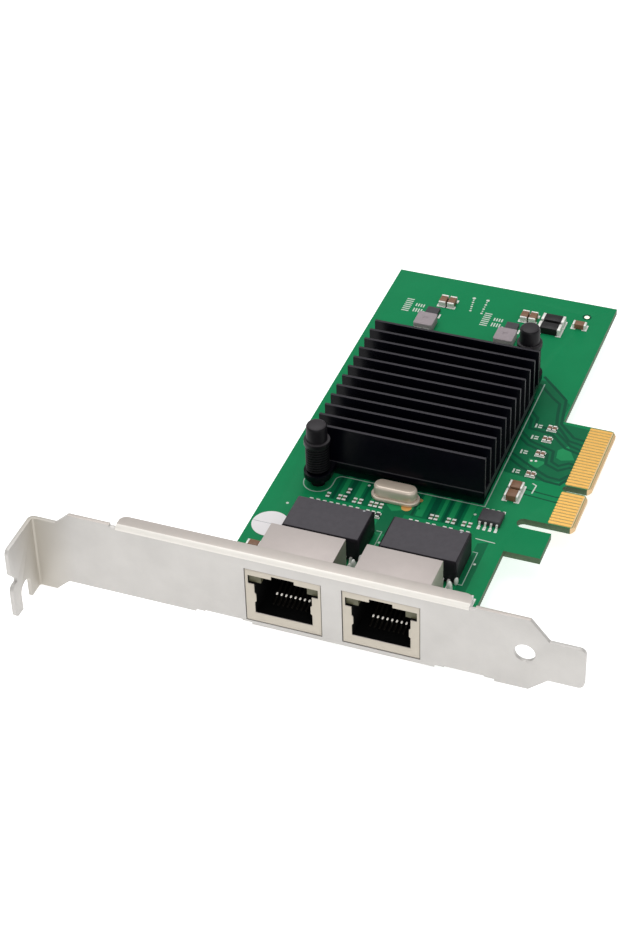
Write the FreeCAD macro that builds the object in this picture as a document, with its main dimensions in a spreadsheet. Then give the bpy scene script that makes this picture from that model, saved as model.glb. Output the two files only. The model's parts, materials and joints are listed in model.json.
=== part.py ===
"""Dual-port network interface card: circuit board, folded bracket, two jacks and a finned cooler.

Frame, in millimetres: the origin lies on the bracket's outer face, midway between the two ports,
level with the component side of the board. X runs along the bracket from the screw ear to the
tongue, Y runs from the bracket towards the far end of the board and Z stands on the component side.
"""

import FreeCAD, Part
import math
import os
import re
import Sketcher

SIZES = {
    # Circuit board: outline, seen from the component side
    "board_thickness": 1.57,
    "board_left": 28.4,
    "board_right": 25.9,
    "board_near": 1.0,
    "board_far": 126.7,
    "foot_right": 33.7,
    "foot_far": 15.7,
    "latch_right": 33.9,
    "latch_near": 34.0,
    "latch_far": 42.5,
    "corner_hole": 1.3,
    "corner_hole_inset_x": 5.9,
    "corner_hole_inset_y": 5.4,
    # Edge connector
    "tongue_right": 38.1,
    "tongue_short": 11.65,
    "tongue_long": 21.65,
    "tongue_chamfer": 0.9,
    "tongue_bevel": 0.35,
    "key_centre": 58.01,
    "key_width": 1.9,
    "key_floor": 32.0,
    "contact_pitch": 1.0,
    "contact_width": 0.7,
    "contact_length": 5.0,
    "contact_plating": 0.04,
    "contact_count_short": 11,
    "contact_count_long": 21,
    # Bracket: one folded sheet
    "sheet": 0.86,
    "bend": 0.5,
    "web_left": 67.17,
    "web_drop": 4.2,
    "web_width": 18.42,
    "web_shift": 2.9,
    "shift_start": 57.9,
    "shift_run": 3.1,
    "shift_skew": 1.3,
    "shoulder_start": 41.45,
    "shoulder_end": 45.45,
    "tongue_tip": 52.85,
    "tip_drop": 0.7,
    "tip_width": 10.19,
    "tip_round": 1.4,
    "index_hole": 4.4,
    "index_hole_x": 40.5,
    "index_hole_z": 5.3,
    "ear_depth": 11.43,
    "ear_slot_width": 4.42,
    "ear_slot_centre": 6.0,
    "ear_slot_height": 6.0,
    "ear_nick_depth": 2.3,
    "ear_nick_height": 3.6,
    "ear_nick_base": 8.4,
    "ear_round": 1.3,
    "flange_left": 47.2,
    "flange_right": 28.9,
    "flange_reach": 3.7,
    "flange_round": 1.6,
    "relief_width": 2.1,
    "flange_relief": 1.3,
    "relief_depth": 0.55,
    # Bracket tabs under the board, each with a screw and nut
    "tab_width": 8.4,
    "tab_reach": 11.4,
    "tab_joggle_start": 2.0,
    "tab_joggle_run": 2.2,
    "tab_shift": 1.8,
    "screw_left_gap": 3.4,
    "screw_right_gap": 11.2,
    "screw_y": 7.8,
    "screw_shank": 2.8,
    "screw_hole": 3.2,
    "screw_head": 5.2,
    "screw_head_height": 1.5,
    "screw_recess": 2.6,
    "nut_flats": 5.0,
    "nut_height": 2.0,
    "nut_bore_gap": 0.05,
    # Network jacks
    "port_pitch": 21.03,
    "port_gap": 0.15,
    "jack_width": 16.4,
    "jack_drop": 3.0,
    "jack_height": 13.67,
    "jack_front": 0.1,
    "jack_rear": 15.3,
    "jack_step": 12.4,
    "jack_board_gap": 0.3,
    "shield_wall": 0.25,
    "port_width": 12.5,
    "cavity_lip": 0.1,
    "port_floor": 0.75,
    "port_shelf": 6.9,
    "window_margin": 0.6,
    "window_top": 9.1,
    "latch_width": 4.9,
    "latch_top": 9.95,
    "port_depth": 11.6,
    "spring_bulge": 0.35,
    "spring_centre": 3.3,
    "spring_height": 2.6,
    "pipe_width": 2.6,
    "pipe_setback": 0.5,
    "pipe_length": 10.0,
    "pipe_clearance": 0.05,
    "wire_width": 0.35,
    "wire_thickness": 0.3,
    "wire_pitch": 1.02,
    "wire_count": 8,
    "wire_setback": 3.3,
    "wire_rise": 2.2,
    "pin_side": 0.4,
    "pin_hole": 0.8,
    "pin_pitch": 2.04,
    "pin_count": 4,
    "pin_row_near": 13.5,
    "pin_row_far": 14.3,
    "pin_length": 3.3,
    "peg_width": 1.2,
    "peg_slot": 1.6,
    "peg_slot_gap": 0.2,
    "peg_y": 14.0,
    "peg_length": 3.0,
    # Isolation transformer modules
    "module_left_x": 10.2,
    "module_right_x": 11.3,
    "module_y": 25.8,
    "module_width": 17.4,
    "module_depth": 10.6,
    "module_height": 6.0,
    "module_base": 0.25,
    "module_round": 0.4,
    "module_lead_pitch": 1.27,
    "module_lead_count": 12,
    "module_lead_width": 0.5,
    "module_lead_thickness": 0.25,
    "module_lead_reach": 1.5,
    "module_lead_exit": 1.0,
    # Controller chip, thermal pad and heatsink
    "cooler_left": 21.2,
    "cooler_near": 46.6,
    "cooler_width": 39.0,
    "cooler_depth": 41.2,
    "cooler_base": 1.6,
    "fin_count": 12,
    "fin_margin": 0.05,
    "fin_thickness": 0.65,
    "fin_top": 12.9,
    "lug_width": 6.2,
    "lug_flare": 4.5,
    "chip_side": 25.0,
    "chip_substrate": 0.9,
    "chip_standoff": 0.35,
    "chip_lid_side": 20.0,
    "chip_lid_height": 0.55,
    "pad_side": 22.0,
    "pad_height": 0.3,
    # Push pins that clamp the heatsink
    "pin_near_inset": 2.25,
    "pin_far_inset": 3.5,
    "pin_near_overhang": 3.6,
    "pin_far_overhang": 3.8,
    "pin_board_hole": 3.2,
    "pin_shank": 3.0,
    "pin_tail": 3.0,
    "pin_tail_barb": 3.8,
    "pin_split": 0.7,
    "pin_head": 4.6,
    "pin_head_top": 16.1,
    "pin_head_height": 4.0,
    "pin_collar": 5.8,
    "pin_collar_height": 1.2,
    "pin_head_round": 0.7,
    "spring_wire": 0.5,
    "spring_diameter": 5.2,
    "spring_turns": 4,
    # Crystal
    "crystal_x": 1.17,
    "crystal_y": 43.2,
    "crystal_base_length": 10.9,
    "crystal_base_width": 4.5,
    "crystal_base_height": 0.8,
    "crystal_can_length": 9.7,
    "crystal_can_width": 3.6,
    "crystal_top": 3.5,
    "crystal_round": 0.5,
    # Memory chip and small supply chip, both with gull-wing leads
    "memory_x": 20.6,
    "memory_y": 42.6,
    "memory_width": 4.9,
    "memory_depth": 3.9,
    "memory_height": 1.55,
    "memory_lead_pitch": 1.27,
    "memory_lead_count": 4,
    "memory_lead_width": 0.45,
    "memory_lead_reach": 1.1,
    "supply_x": 23.95,
    "supply_y": 63.7,
    "supply_width": 2.9,
    "supply_depth": 1.7,
    "supply_height": 1.1,
    "supply_lead_pitch": 0.95,
    "supply_lead_count": 3,
    "supply_lead_width": 0.4,
    "supply_lead_reach": 0.6,
    "lead_thickness": 0.18,
    "body_standoff": 0.1,
    # Power inductors and the regulator chips beside them
    "inductor_left_x": 15.3,
    "inductor_right_x": 4.4,
    "inductor_left_y": 106.0,
    "inductor_right_y": 105.8,
    "inductor_width": 4.6,
    "inductor_depth": 5.0,
    "inductor_height": 2.2,
    "inductor_round": 0.45,
    "dimple_diameter": 1.3,
    "dimple_depth": 0.15,
    "regulator_offset": 5.4,
    "regulator_side": 3.0,
    "regulator_height": 0.8,
    # Large input parts at the far right corner
    "input_x": 13.2,
    "input_y": 116.3,
    "input_pitch": 3.4,
    "input_length": 5.5,
    "input_width": 2.6,
    "input_height": 1.8,
    "end_cap": 0.7,
    # Ceramic chip capacitors
    "capacitor_length": 3.2,
    "capacitor_width": 1.7,
    "capacitor_height": 1.3,
    "capacitor_cap": 0.5,
    "capacitor_pitch": 2.1,
    "bank_left_x": 14.1,
    "bank_right_x": 6.1,
    "bank_y": 116.4,
    "corner_capacitor_x": 19.4,
    "corner_capacitor_y": 116.8,
    "side_capacitor_x": 24.3,
    "side_capacitor_y": 18.4,
    "foot_capacitor_x": 23.1,
    "foot_capacitor_y": 16.5,
    # Larger ceramic capacitors beside the heatsink
    "bulk_length": 3.2,
    "bulk_width": 2.4,
    "bulk_height": 1.5,
    "bulk_cap": 0.5,
    "bulk_pitch": 3.1,
    "bulk_x": 22.6,
    "bulk_gap": 4.45,
    # Small chip parts in rows: behind the modules, beside the heatsink and by the inductors
    "small_length": 1.6,
    "small_width": 0.8,
    "small_height": 0.5,
    "small_cap": 0.35,
    "row_y": 36.3,
    "row_left_x": 18.2,
    "row_left_pitch": 1.5,
    "row_left_count": 8,
    "row_middle_x": 5.3,
    "row_middle_pitch": 1.23,
    "row_middle_count": 3,
    "row_pair_x": 4.4,
    "row_pair_pitch": 1.36,
    "row_pair_step": 3.8,
    "row_pair_count": 4,
    "coupling_x": 23.6,
    "coupling_pitch": 1.1,
    "coupling_gap_bulk": 3.7,
    "coupling_gap_second": 5.9,
    "coupling_gap_third": 3.8,
    "coupling_gap_far": 2.5,
    "output_y": 99.9,
    "output_left_x": 15.0,
    "output_right_x": 0.6,
    "output_pitch": 1.4,
    "output_count": 5,
    # Round inspection label on the board, beside the left module
    "label_x": 23.75,
    "label_y": 26.5,
    "label_diameter": 8.2,
    "label_thickness": 0.1,
}

doc = FreeCAD.newDocument("NetworkCard")
sheet = doc.addObject("Spreadsheet::Sheet", "Sizes")
for row, (alias, value) in enumerate(SIZES.items(), start=1):
    sheet.set(f"A{row}", alias)
    sheet.set(f"B{row}", str(value))
    sheet.setAlias(f"B{row}", alias)
doc.recompute()

NODES = []
SPRING_SIDES = 8
WIRE_SIDES = 5


# ---------------------------------------------------------------- helpers


def linked(expression):
    """An expression over bare size names, as the document writes it."""
    return re.sub(r"[a-z_]+", lambda word: "Sizes." + word[0] if word[0] in SIZES else word[0], expression)


def number(expression):
    """The present value of an expression over bare size names."""
    return float(sheet.evalExpression(expression))


def tie(item, field, expression):
    """Bind one property of an object to the sheet."""
    item.setExpression(field, linked(expression))


def place(item, x="0", y="0", z="0"):
    """Bind an object's position to the sheet."""
    for axis, expression in zip("xyz", (x, y, z)):
        tie(item, f"Placement.Base.{axis}", expression)


def new_body(label):
    """An empty body that becomes the sub-part of this label."""
    body = doc.addObject("PartDesign::Body", label)
    body.Label = label
    NODES.append(body)
    return body


def datum(body, role):
    """An origin plane or axis of a body."""
    return next(item for item in body.Origin.OriginFeatures if item.Role == role)


def new_sketch(body, role, at):
    """A sketch on an origin plane, moved to the position at along the plane's axis."""
    sketch = body.newObject("Sketcher::SketchObject", body.Name + "Sketch")
    sketch.AttachmentSupport = (datum(body, role), [""])
    sketch.MapMode = "FlatFace"
    sign = "-" if role == "XZ_Plane" else ""
    tie(sketch, "AttachmentOffset.Base.z", f"{sign}({at})")
    return sketch


def pin_down(sketch, geometry, point, u, v):
    """Hold one point of a sketch at coordinates given by expressions."""
    for kind, expression in (("DistanceX", u), ("DistanceY", v)):
        wanted = number(expression)
        index = sketch.addConstraint(Sketcher.Constraint(kind, -1, 1, geometry, point, wanted))
        tie(sketch, f"Constraints[{index}]", expression)


def arc_between(start, end, radius, side):
    """A minor arc from start to end; side is 1 for anticlockwise and -1 for clockwise."""
    chord = end - start
    middle = (start + end) * 0.5
    rise = math.sqrt(max(radius**2 - (chord.Length / 2) ** 2, 0.0))
    normal = FreeCAD.Vector(-chord.y, chord.x, 0).normalize()
    centre = middle + normal * (rise * side)
    first, last = (start, end) if side > 0 else (end, start)
    angles = [math.atan2(p.y - centre.y, p.x - centre.x) for p in (first, last)]
    circle = Part.Circle(centre, FreeCAD.Vector(0, 0, 1), radius)
    return Part.ArcOfCircle(circle, *angles)


def add_outline(sketch, corners):
    """A closed outline. A corner is (u, v), or (u, v, radius, side) where an arc leaves it."""
    points = [FreeCAD.Vector(number(c[0]), number(c[1]), 0) for c in corners]
    ends = []
    first = sketch.GeometryCount
    for index, corner in enumerate(corners):
        start = points[index]
        end = points[(index + 1) % len(points)]
        if len(corner) == 2:
            sketch.addGeometry(Part.LineSegment(start, end), False)
            ends.append((1, 2))
            continue
        side = corner[3]
        geometry = sketch.addGeometry(arc_between(start, end, number(corner[2]), side), False)
        constraint = sketch.addConstraint(Sketcher.Constraint("Radius", geometry, number(corner[2])))
        tie(sketch, f"Constraints[{constraint}]", corner[2])
        ends.append((1, 2) if side > 0 else (2, 1))
    for index, corner in enumerate(corners):
        following = (index + 1) % len(corners)
        joint = (first + index, ends[index][1], first + following, ends[following][0])
        sketch.addConstraint(Sketcher.Constraint("Coincident", *joint))
        pin_down(sketch, first + index, ends[index][0], corner[0], corner[1])


def add_circle(sketch, u, v, diameter):
    """A circle with its centre and diameter bound to the sheet."""
    centre = FreeCAD.Vector(number(u), number(v), 0)
    circle = Part.Circle(centre, FreeCAD.Vector(0, 0, 1), number(diameter) / 2)
    geometry = sketch.addGeometry(circle, False)
    pin_down(sketch, geometry, 3, u, v)
    index = sketch.addConstraint(Sketcher.Constraint("Diameter", geometry, number(diameter)))
    tie(sketch, f"Constraints[{index}]", diameter)


def run_along(feature, sketch, role, length, additive):
    """Let a pad or pocket run from its sketch towards the plus side of the plane's axis."""
    feature.Profile = sketch
    against_normal = role == "XZ_Plane"
    feature.Reversed = against_normal if additive else not against_normal
    tie(feature, "Length", length)
    return feature


def pad(body, role, at, length, outline=(), circles=()):
    """Material from the position at along the plane's axis, over the given length."""
    sketch = new_sketch(body, role, at)
    if outline:
        add_outline(sketch, outline)
    for circle in circles:
        add_circle(sketch, *circle)
    feature = body.newObject("PartDesign::Pad", body.Name + "Pad")
    return run_along(feature, sketch, role, length, additive=True)


def pocket(body, role, at, length, outline=(), circles=()):
    """A cut from the position at along the plane's axis, over the given length."""
    sketch = new_sketch(body, role, at)
    if outline:
        add_outline(sketch, outline)
    for circle in circles:
        add_circle(sketch, *circle)
    feature = body.newObject("PartDesign::Pocket", body.Name + "Pocket")
    return run_along(feature, sketch, role, length, additive=False)


def revolve(body, outline, additive=True):
    """A full turn about the body's Z axis of an outline in the XZ plane."""
    sketch = new_sketch(body, "XZ_Plane", "0")
    add_outline(sketch, outline)
    kind = "PartDesign::Revolution" if additive else "PartDesign::Groove"
    feature = body.newObject(kind, body.Name + "Turn")
    feature.Profile = sketch
    feature.ReferenceAxis = (datum(body, "Z_Axis"), [""])
    feature.Angle = 360
    return feature


def repeat(body, features, axis, pitch, count):
    """A straight row of copies of some features."""
    pattern = body.newObject("PartDesign::LinearPattern", body.Name + "Row")
    pattern.Originals = features
    pattern.Direction = (datum(body, axis), [""])
    pattern.Mode = "Spacing"
    tie(pattern, "Offset", pitch)
    tie(pattern, "Occurrences", count)
    body.Tip = pattern
    return pattern


def mirror(body, features, plane):
    """Copies of some features on the other side of an origin plane."""
    mirrored = body.newObject("PartDesign::Mirrored", body.Name + "Mirror")
    mirrored.Originals = features
    mirrored.MirrorPlane = (datum(body, plane), [""])
    body.Tip = mirrored
    return mirrored


def mirror_whole(body, plane):
    """Everything made so far in a body, repeated on the other side of an origin plane."""
    mirrored = body.newObject("PartDesign::Mirrored", body.Name + "Mirror")
    mirrored.TransformMode = "Whole shape"
    mirrored.MirrorPlane = (datum(body, plane), [""])
    body.Tip = mirrored
    return mirrored


def edges_where(body, wanted):
    """Names of the edges of a body's present shape that pass a test."""
    doc.recompute()
    edges = body.Tip.Shape.Edges
    return [f"Edge{index}" for index, edge in enumerate(edges, start=1) if wanted(edge)]


def dress(body, kind, size_field, size, wanted):
    """A fillet or chamfer on the edges that pass a test."""
    names = edges_where(body, wanted)
    base = body.Tip
    feature = body.newObject("PartDesign::" + kind, body.Name + kind)
    feature.Base = (base, names)
    tie(feature, size_field, size)
    return feature


def rectangle(left, low, right, high):
    """The corners of an upright rectangle."""
    return [(left, low), (right, low), (right, high), (left, high)]


def is_upright(edge):
    """True for a straight edge parallel to Z."""
    if len(edge.Vertexes) != 2:
        return False
    run = edge.Vertexes[1].Point - edge.Vertexes[0].Point
    return abs(run.x) < 1e-6 and abs(run.y) < 1e-6


def lies_at(edge, x=None, y=None, z=None):
    """True where the whole edge lies on the given coordinates."""
    box = edge.BoundBox
    limits = ((x, box.XMin, box.XMax), (y, box.YMin, box.YMax), (z, box.ZMin, box.ZMax))
    return all(w is None or (abs(low - w) < 1e-4 and abs(high - w) < 1e-4) for w, low, high in limits)


def block(name, left, near, low, width, depth, height):
    """A box whose corner and size are bound to the sheet."""
    box = doc.addObject("Part::Box", name)
    for field, expression in (("Length", width), ("Width", depth), ("Height", height)):
        tie(box, field, expression)
    place(box, left, near, low)
    return box


def group(label, members):
    """Several separate solids that make one sub-part."""
    compound = doc.addObject("Part::Compound", label)
    compound.Label = label
    compound.Links = members
    NODES.append(compound)
    return compound


# ---------------------------------------------------------------- values worked out from the sheet

TONGUE_NEAR = "(key_centre - key_width / 2 - tongue_short)"
TONGUE_FAR = "(key_centre + key_width / 2 + tongue_long)"
KEY_NEAR = "(key_centre - key_width / 2)"
KEY_FAR = "(key_centre + key_width / 2)"
WEB_LOW = "(-web_drop)"
WEB_TOP = "(web_width - web_drop)"
EAR_LOW = "(-web_drop - web_shift)"
EAR_TOP = "(web_width - web_drop - web_shift)"
FOLD = "(bend + sheet)"
TAB_TOP = "(-board_thickness)"
TAB_LOW = "(-board_thickness - sheet)"
PORT_LEFT = "-port_pitch / 2"
PORT_RIGHT = "port_pitch / 2"
JACK_TOP = "(jack_height - jack_drop)"
RECESS_HALF = "(jack_width / 2 + jack_board_gap)"
RECESS_FAR = "(jack_step + jack_board_gap)"
COOLER_MIDDLE_X = "(cooler_width / 2 - cooler_left)"
COOLER_MIDDLE_Y = "(cooler_near + cooler_depth / 2)"
CHIP_TOP = "(chip_standoff + chip_substrate + chip_lid_height)"
COOLER_LOW = f"({CHIP_TOP} + pad_height)"
COOLER_TOP = f"({COOLER_LOW} + cooler_base)"
PORTS = {"1": PORT_LEFT, "2": PORT_RIGHT}
SCREWS = {
    "1": "-(port_pitch / 2 + jack_width / 2 + screw_left_gap)",
    "2": "(port_pitch / 2 + jack_width / 2 + screw_right_gap)",
}
PIN_NEAR_X = "(pin_near_inset - cooler_left)"
PIN_NEAR_Y = "(cooler_near - pin_near_overhang)"
PIN_FAR_X = "(cooler_width - cooler_left - pin_far_inset)"
PIN_FAR_Y = "(cooler_near + cooler_depth + pin_far_overhang)"
PUSH_PINS = {"1": (PIN_NEAR_X, PIN_NEAR_Y), "2": (PIN_FAR_X, PIN_FAR_Y)}
WINDOW_HALF = "(jack_width / 2 - window_margin)"
BULK_NEAR = "(memory_y + memory_depth / 2 + memory_lead_reach + bulk_gap)"
BULK_FAR = f"({BULK_NEAR} + bulk_width + bulk_pitch)"
FIN_PITCH = "((cooler_depth - 2 * fin_margin - fin_thickness) / (fin_count - 1))"


# ---------------------------------------------------------------- circuit board


def board_holes():
    """The round holes: screws, push pins and one corner hole."""
    holes = [(x, "screw_y", "screw_hole") for x in SCREWS.values()]
    holes += [(x, y, "pin_board_hole") for x, y in PUSH_PINS.values()]
    corner = ("board_right - corner_hole_inset_x", "board_far - corner_hole_inset_y", "corner_hole")
    holes.append(corner)
    return holes


def drill_pin_rows(body):
    """The small holes for the jacks' pins, each with eight sides."""
    for centre in PORTS.values():
        for shift, y in (("- pin_pitch / 4", "pin_row_near"), ("+ pin_pitch / 4", "pin_row_far")):
            x = f"{centre} - (pin_count - 1) / 2 * pin_pitch {shift}"
            ring = [
                (f"{x} + pin_hole / 2 * cos({angle})", f"{y} + pin_hole / 2 * sin({angle})")
                for angle in range(0, 360, 45)
            ]
            hole = pocket(body, "XY_Plane", "-board_thickness - 1", "board_thickness + 2", ring)
            repeat(body, [hole], "X_Axis", "pin_pitch", "pin_count")


def slot_pegs(body):
    """The oblong slots for the shields' pegs."""
    half = "(shield_wall / 2 + peg_slot_gap)"
    for centre in PORTS.values():
        for side in "-+":
            x = f"{centre} {side} (jack_width - shield_wall) / 2"
            slot = rectangle(f"{x} - {half}", "peg_y - peg_slot / 2", f"{x} + {half}", "peg_y + peg_slot / 2")
            pocket(body, "XY_Plane", "-board_thickness - 1", "board_thickness + 2", slot)


def make_board():
    """Fibreglass board with its edge-connector tongue, key notch and jack recesses."""
    body = new_body("board")
    near_edge = []
    for centre in PORTS.values():
        near_edge += [
            (f"{centre} - {RECESS_HALF}", "board_near"),
            (f"{centre} - {RECESS_HALF}", RECESS_FAR),
            (f"{centre} + {RECESS_HALF}", RECESS_FAR),
            (f"{centre} + {RECESS_HALF}", "board_near"),
        ]
    outline = [
        ("-board_left", "board_near"),
        *near_edge,
        ("foot_right", "board_near"),
        ("foot_right", "foot_far"),
        ("board_right", "foot_far"),
        ("board_right", "latch_near"),
        ("latch_right", "latch_near"),
        ("latch_right", "latch_far"),
        (f"board_right + ({TONGUE_NEAR} - latch_far) / 2", "latch_far", f"({TONGUE_NEAR} - latch_far) / 2", -1),
        ("board_right", f"({TONGUE_NEAR} + latch_far) / 2", f"({TONGUE_NEAR} - latch_far) / 2", -1),
        (f"board_right + ({TONGUE_NEAR} - latch_far) / 2", TONGUE_NEAR),
        ("tongue_right - tongue_chamfer", TONGUE_NEAR),
        ("tongue_right", f"{TONGUE_NEAR} + tongue_chamfer"),
        ("tongue_right", f"{KEY_NEAR} - tongue_chamfer"),
        ("tongue_right - tongue_chamfer", KEY_NEAR),
        ("key_floor + key_width / 2", KEY_NEAR, "key_width / 2", -1),
        ("key_floor", "key_centre", "key_width / 2", -1),
        ("key_floor + key_width / 2", KEY_FAR),
        ("tongue_right - tongue_chamfer", KEY_FAR),
        ("tongue_right", f"{KEY_FAR} + tongue_chamfer"),
        ("tongue_right", f"{TONGUE_FAR} - tongue_chamfer"),
        ("tongue_right - tongue_chamfer", TONGUE_FAR),
        ("board_right", TONGUE_FAR),
        ("board_right", "board_far"),
        ("-board_left", "board_far"),
    ]
    pad(body, "XY_Plane", "-board_thickness", "board_thickness", outline)
    pocket(body, "XY_Plane", "-board_thickness - 1", "board_thickness + 2", circles=board_holes())
    drill_pin_rows(body)
    slot_pegs(body)
    for low, high, inner in (
        ("0.1", "-tongue_bevel", "0.1"),
        ("-board_thickness - 0.1", "-board_thickness + tongue_bevel", "-board_thickness - 0.1"),
    ):
        bevel = [
            ("tongue_right + 0.1", low),
            ("tongue_right + 0.1", high),
            ("tongue_right", high),
            ("tongue_right - tongue_chamfer * 0.7", inner),
        ]
        pocket(body, "XZ_Plane", TONGUE_NEAR, "tongue_short + key_width + tongue_long", bevel)
    return body


def make_edge_contacts():
    """Gold-plated contact pads on both faces of the tongue."""
    pads = []
    segments = (
        (TONGUE_NEAR, "tongue_short", "contact_count_short"),
        (KEY_FAR, "tongue_long", "contact_count_long"),
    )
    for near, span, count in segments:
        for index in range(SIZES[count]):
            centre = f"{near} + {span} / 2 + ({index} - ({count} - 1) / 2) * contact_pitch"
            for low in ("0", "-board_thickness - contact_plating"):
                left = "tongue_right - tongue_chamfer - contact_length"
                near_side = f"{centre} - contact_width / 2"
                sizes = ("contact_length", "contact_width", "contact_plating")
                pads.append(block("Contact", left, near_side, low, *sizes))
    return group("edge_contacts", pads)


# ---------------------------------------------------------------- bracket


def make_bracket():
    """Folded sheet-metal bracket: web, screw ear, tongue, top flange and two board tabs."""
    body = new_body("bracket")
    plan = [
        ("-web_left", "-ear_depth"),
        ("-web_left + sheet", "-ear_depth"),
        ("-web_left + sheet", "-bend", "bend", -1),
        (f"-web_left + {FOLD}", "0"),
        ("tongue_tip", "0"),
        ("tongue_tip", "sheet"),
        (f"-web_left + {FOLD}", "sheet", FOLD, 1),
        ("-web_left", "-bend"),
    ]
    pad(body, "XY_Plane", EAR_LOW, f"{WEB_TOP} - {EAR_LOW}", plan)
    trim_web(body)
    fold_flange(body)
    fold_tabs(body)
    cut_ear(body)
    return body


def trim_web(body):
    """The web's outline, its port cut-outs, the index hole and the bend reliefs."""
    through = ("-ear_depth - 1", "ear_depth + sheet + 2")
    beyond_left = "-web_left - 1"
    beyond_tip = "tongue_tip + 1"
    above = [
        ("-shift_start", WEB_TOP),
        ("-shift_start - shift_run", EAR_TOP),
        (beyond_left, EAR_TOP),
        (beyond_left, f"{WEB_TOP} + 1"),
        ("-shift_start", f"{WEB_TOP} + 1"),
    ]
    below = [
        ("-shift_start - shift_skew - shift_run", EAR_LOW),
        ("-shift_start - shift_skew", WEB_LOW),
        ("shoulder_start", WEB_LOW),
        ("shoulder_end", "-tip_drop"),
        (beyond_tip, "-tip_drop"),
        (beyond_tip, f"{EAR_LOW} - 1"),
        ("-shift_start - shift_skew - shift_run", f"{EAR_LOW} - 1"),
    ]
    shoulder = [
        ("shoulder_start", WEB_TOP),
        ("shoulder_end", "tip_width - tip_drop"),
        (beyond_tip, "tip_width - tip_drop"),
        (beyond_tip, f"{WEB_TOP} + 1"),
        ("shoulder_start", f"{WEB_TOP} + 1"),
    ]
    for outline in (above, below, shoulder):
        pocket(body, "XZ_Plane", *through, outline)
    for centre in PORTS.values():
        half = "(jack_width / 2 + port_gap)"
        low, high = "-jack_drop - port_gap", f"{JACK_TOP} + port_gap"
        opening = rectangle(f"{centre} - {half}", low, f"{centre} + {half}", high)
        pocket(body, "XZ_Plane", "-1", "sheet + 2", opening)
    pocket(body, "XZ_Plane", "-1", "sheet + 2", circles=[("index_hole_x", "index_hole_z", "index_hole")])
    tip = number("tongue_tip")
    dress(body, "Fillet", "Radius", "tip_round", lambda edge: lies_at(edge, x=tip) and across_sheet(edge))


def across_sheet(edge):
    """True for a straight edge that runs through the web's thickness."""
    run = edge.Vertexes[-1].Point - edge.Vertexes[0].Point
    return abs(run.x) < 1e-6 and abs(run.z) < 1e-6 and abs(abs(run.y) - number("sheet")) < 1e-6


def fold_flange(body):
    """The stiffening flange bent back from the top edge, over the jacks."""
    fold_line = f"{WEB_TOP} - {FOLD}"
    strip = rectangle("-flange_left", fold_line, "flange_right", f"{WEB_TOP} + 1")
    pocket(body, "XZ_Plane", "-1", "sheet + 2", strip)
    for left in ("-flange_left - flange_relief", "flange_right"):
        relief = rectangle(left, f"{WEB_TOP} - relief_depth", f"{left} + flange_relief", f"{WEB_TOP} + 1")
        pocket(body, "XZ_Plane", "-1", "sheet + 2", relief)
    profile = [
        ("0", fold_line, FOLD, -1),
        (FOLD, WEB_TOP),
        ("flange_reach", WEB_TOP),
        ("flange_reach", f"{WEB_TOP} - sheet"),
        (FOLD, f"{WEB_TOP} - sheet", "bend", 1),
        ("sheet", fold_line),
    ]
    pad(body, "YZ_Plane", "-flange_left", "flange_left + flange_right", profile)
    reach = number("flange_reach")
    dress(body, "Fillet", "Radius", "flange_round", lambda edge: is_upright(edge) and lies_at(edge, y=reach))


def fold_tabs(body):
    """Two tabs bent back from the lower edge and joggled up against the board."""
    fold_line = f"{WEB_LOW} + {FOLD}"
    joggle_end = "tab_joggle_start + tab_joggle_run"
    profile = [
        ("0", fold_line),
        ("sheet", fold_line, "bend", 1),
        (FOLD, f"{WEB_LOW} + sheet"),
        ("tab_joggle_start", f"{WEB_LOW} + sheet"),
        (joggle_end, TAB_TOP),
        ("tab_reach", TAB_TOP),
        ("tab_reach", TAB_LOW),
        (joggle_end, TAB_LOW),
        ("tab_joggle_start", WEB_LOW),
        (FOLD, WEB_LOW, FOLD, -1),
    ]
    for screw in SCREWS.values():
        left = f"{screw} - tab_shift - tab_width / 2"
        right = f"{screw} - tab_shift + tab_width / 2"
        strip = rectangle(left, f"{WEB_LOW} - 1", right, fold_line)
        pocket(body, "XZ_Plane", "-1", "sheet + 2", strip)
        pad(body, "YZ_Plane", left, "tab_width", profile)
        for edge in (f"{left} - relief_width", right):
            relief = rectangle(edge, f"{WEB_LOW} - 1", f"{edge} + relief_width", f"{WEB_LOW} + relief_depth")
            pocket(body, "XZ_Plane", "-1", "sheet + 2", relief)
        bore = [(screw, "screw_y", "screw_hole")]
        pocket(body, "XY_Plane", f"{TAB_LOW} - 1", "sheet + 2", circles=bore)


def cut_ear(body):
    """The ear's open screw slot, its hooked outer finger and rounded corners."""
    slot_top = f"{EAR_LOW} + ear_slot_height"
    near = "-ear_slot_centre + ear_slot_width / 2"
    far = "-ear_slot_centre - ear_slot_width / 2"
    centre_line = f"{slot_top} - ear_slot_width / 2"
    slot = [
        (near, f"{EAR_LOW} - 1"),
        (near, centre_line, "ear_slot_width / 2", 1),
        ("-ear_slot_centre", slot_top, "ear_slot_width / 2", 1),
        (far, centre_line),
        (far, f"{EAR_LOW} - 1"),
    ]
    pocket(body, "YZ_Plane", "-web_left - 1", "sheet + 2", slot)
    nick_base = f"{EAR_LOW} + ear_nick_base"
    nick = [
        ("-ear_depth - 1", nick_base),
        ("-ear_depth + ear_nick_depth", nick_base),
        ("-ear_depth + ear_nick_depth", f"{nick_base} + ear_nick_height / 4"),
        ("-ear_depth", f"{nick_base} + ear_nick_height"),
        ("-ear_depth - 1", f"{nick_base} + ear_nick_height"),
    ]
    pocket(body, "YZ_Plane", "-web_left - 1", "sheet + 2", nick)
    outer = number("-ear_depth")
    ends = (number(EAR_LOW), number(nick_base), number(EAR_TOP))

    def is_corner(edge):
        return lies_at(edge, y=outer) and any(lies_at(edge, z=end) for end in ends)

    dress(body, "Fillet", "Radius", "ear_round", is_corner)


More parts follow.
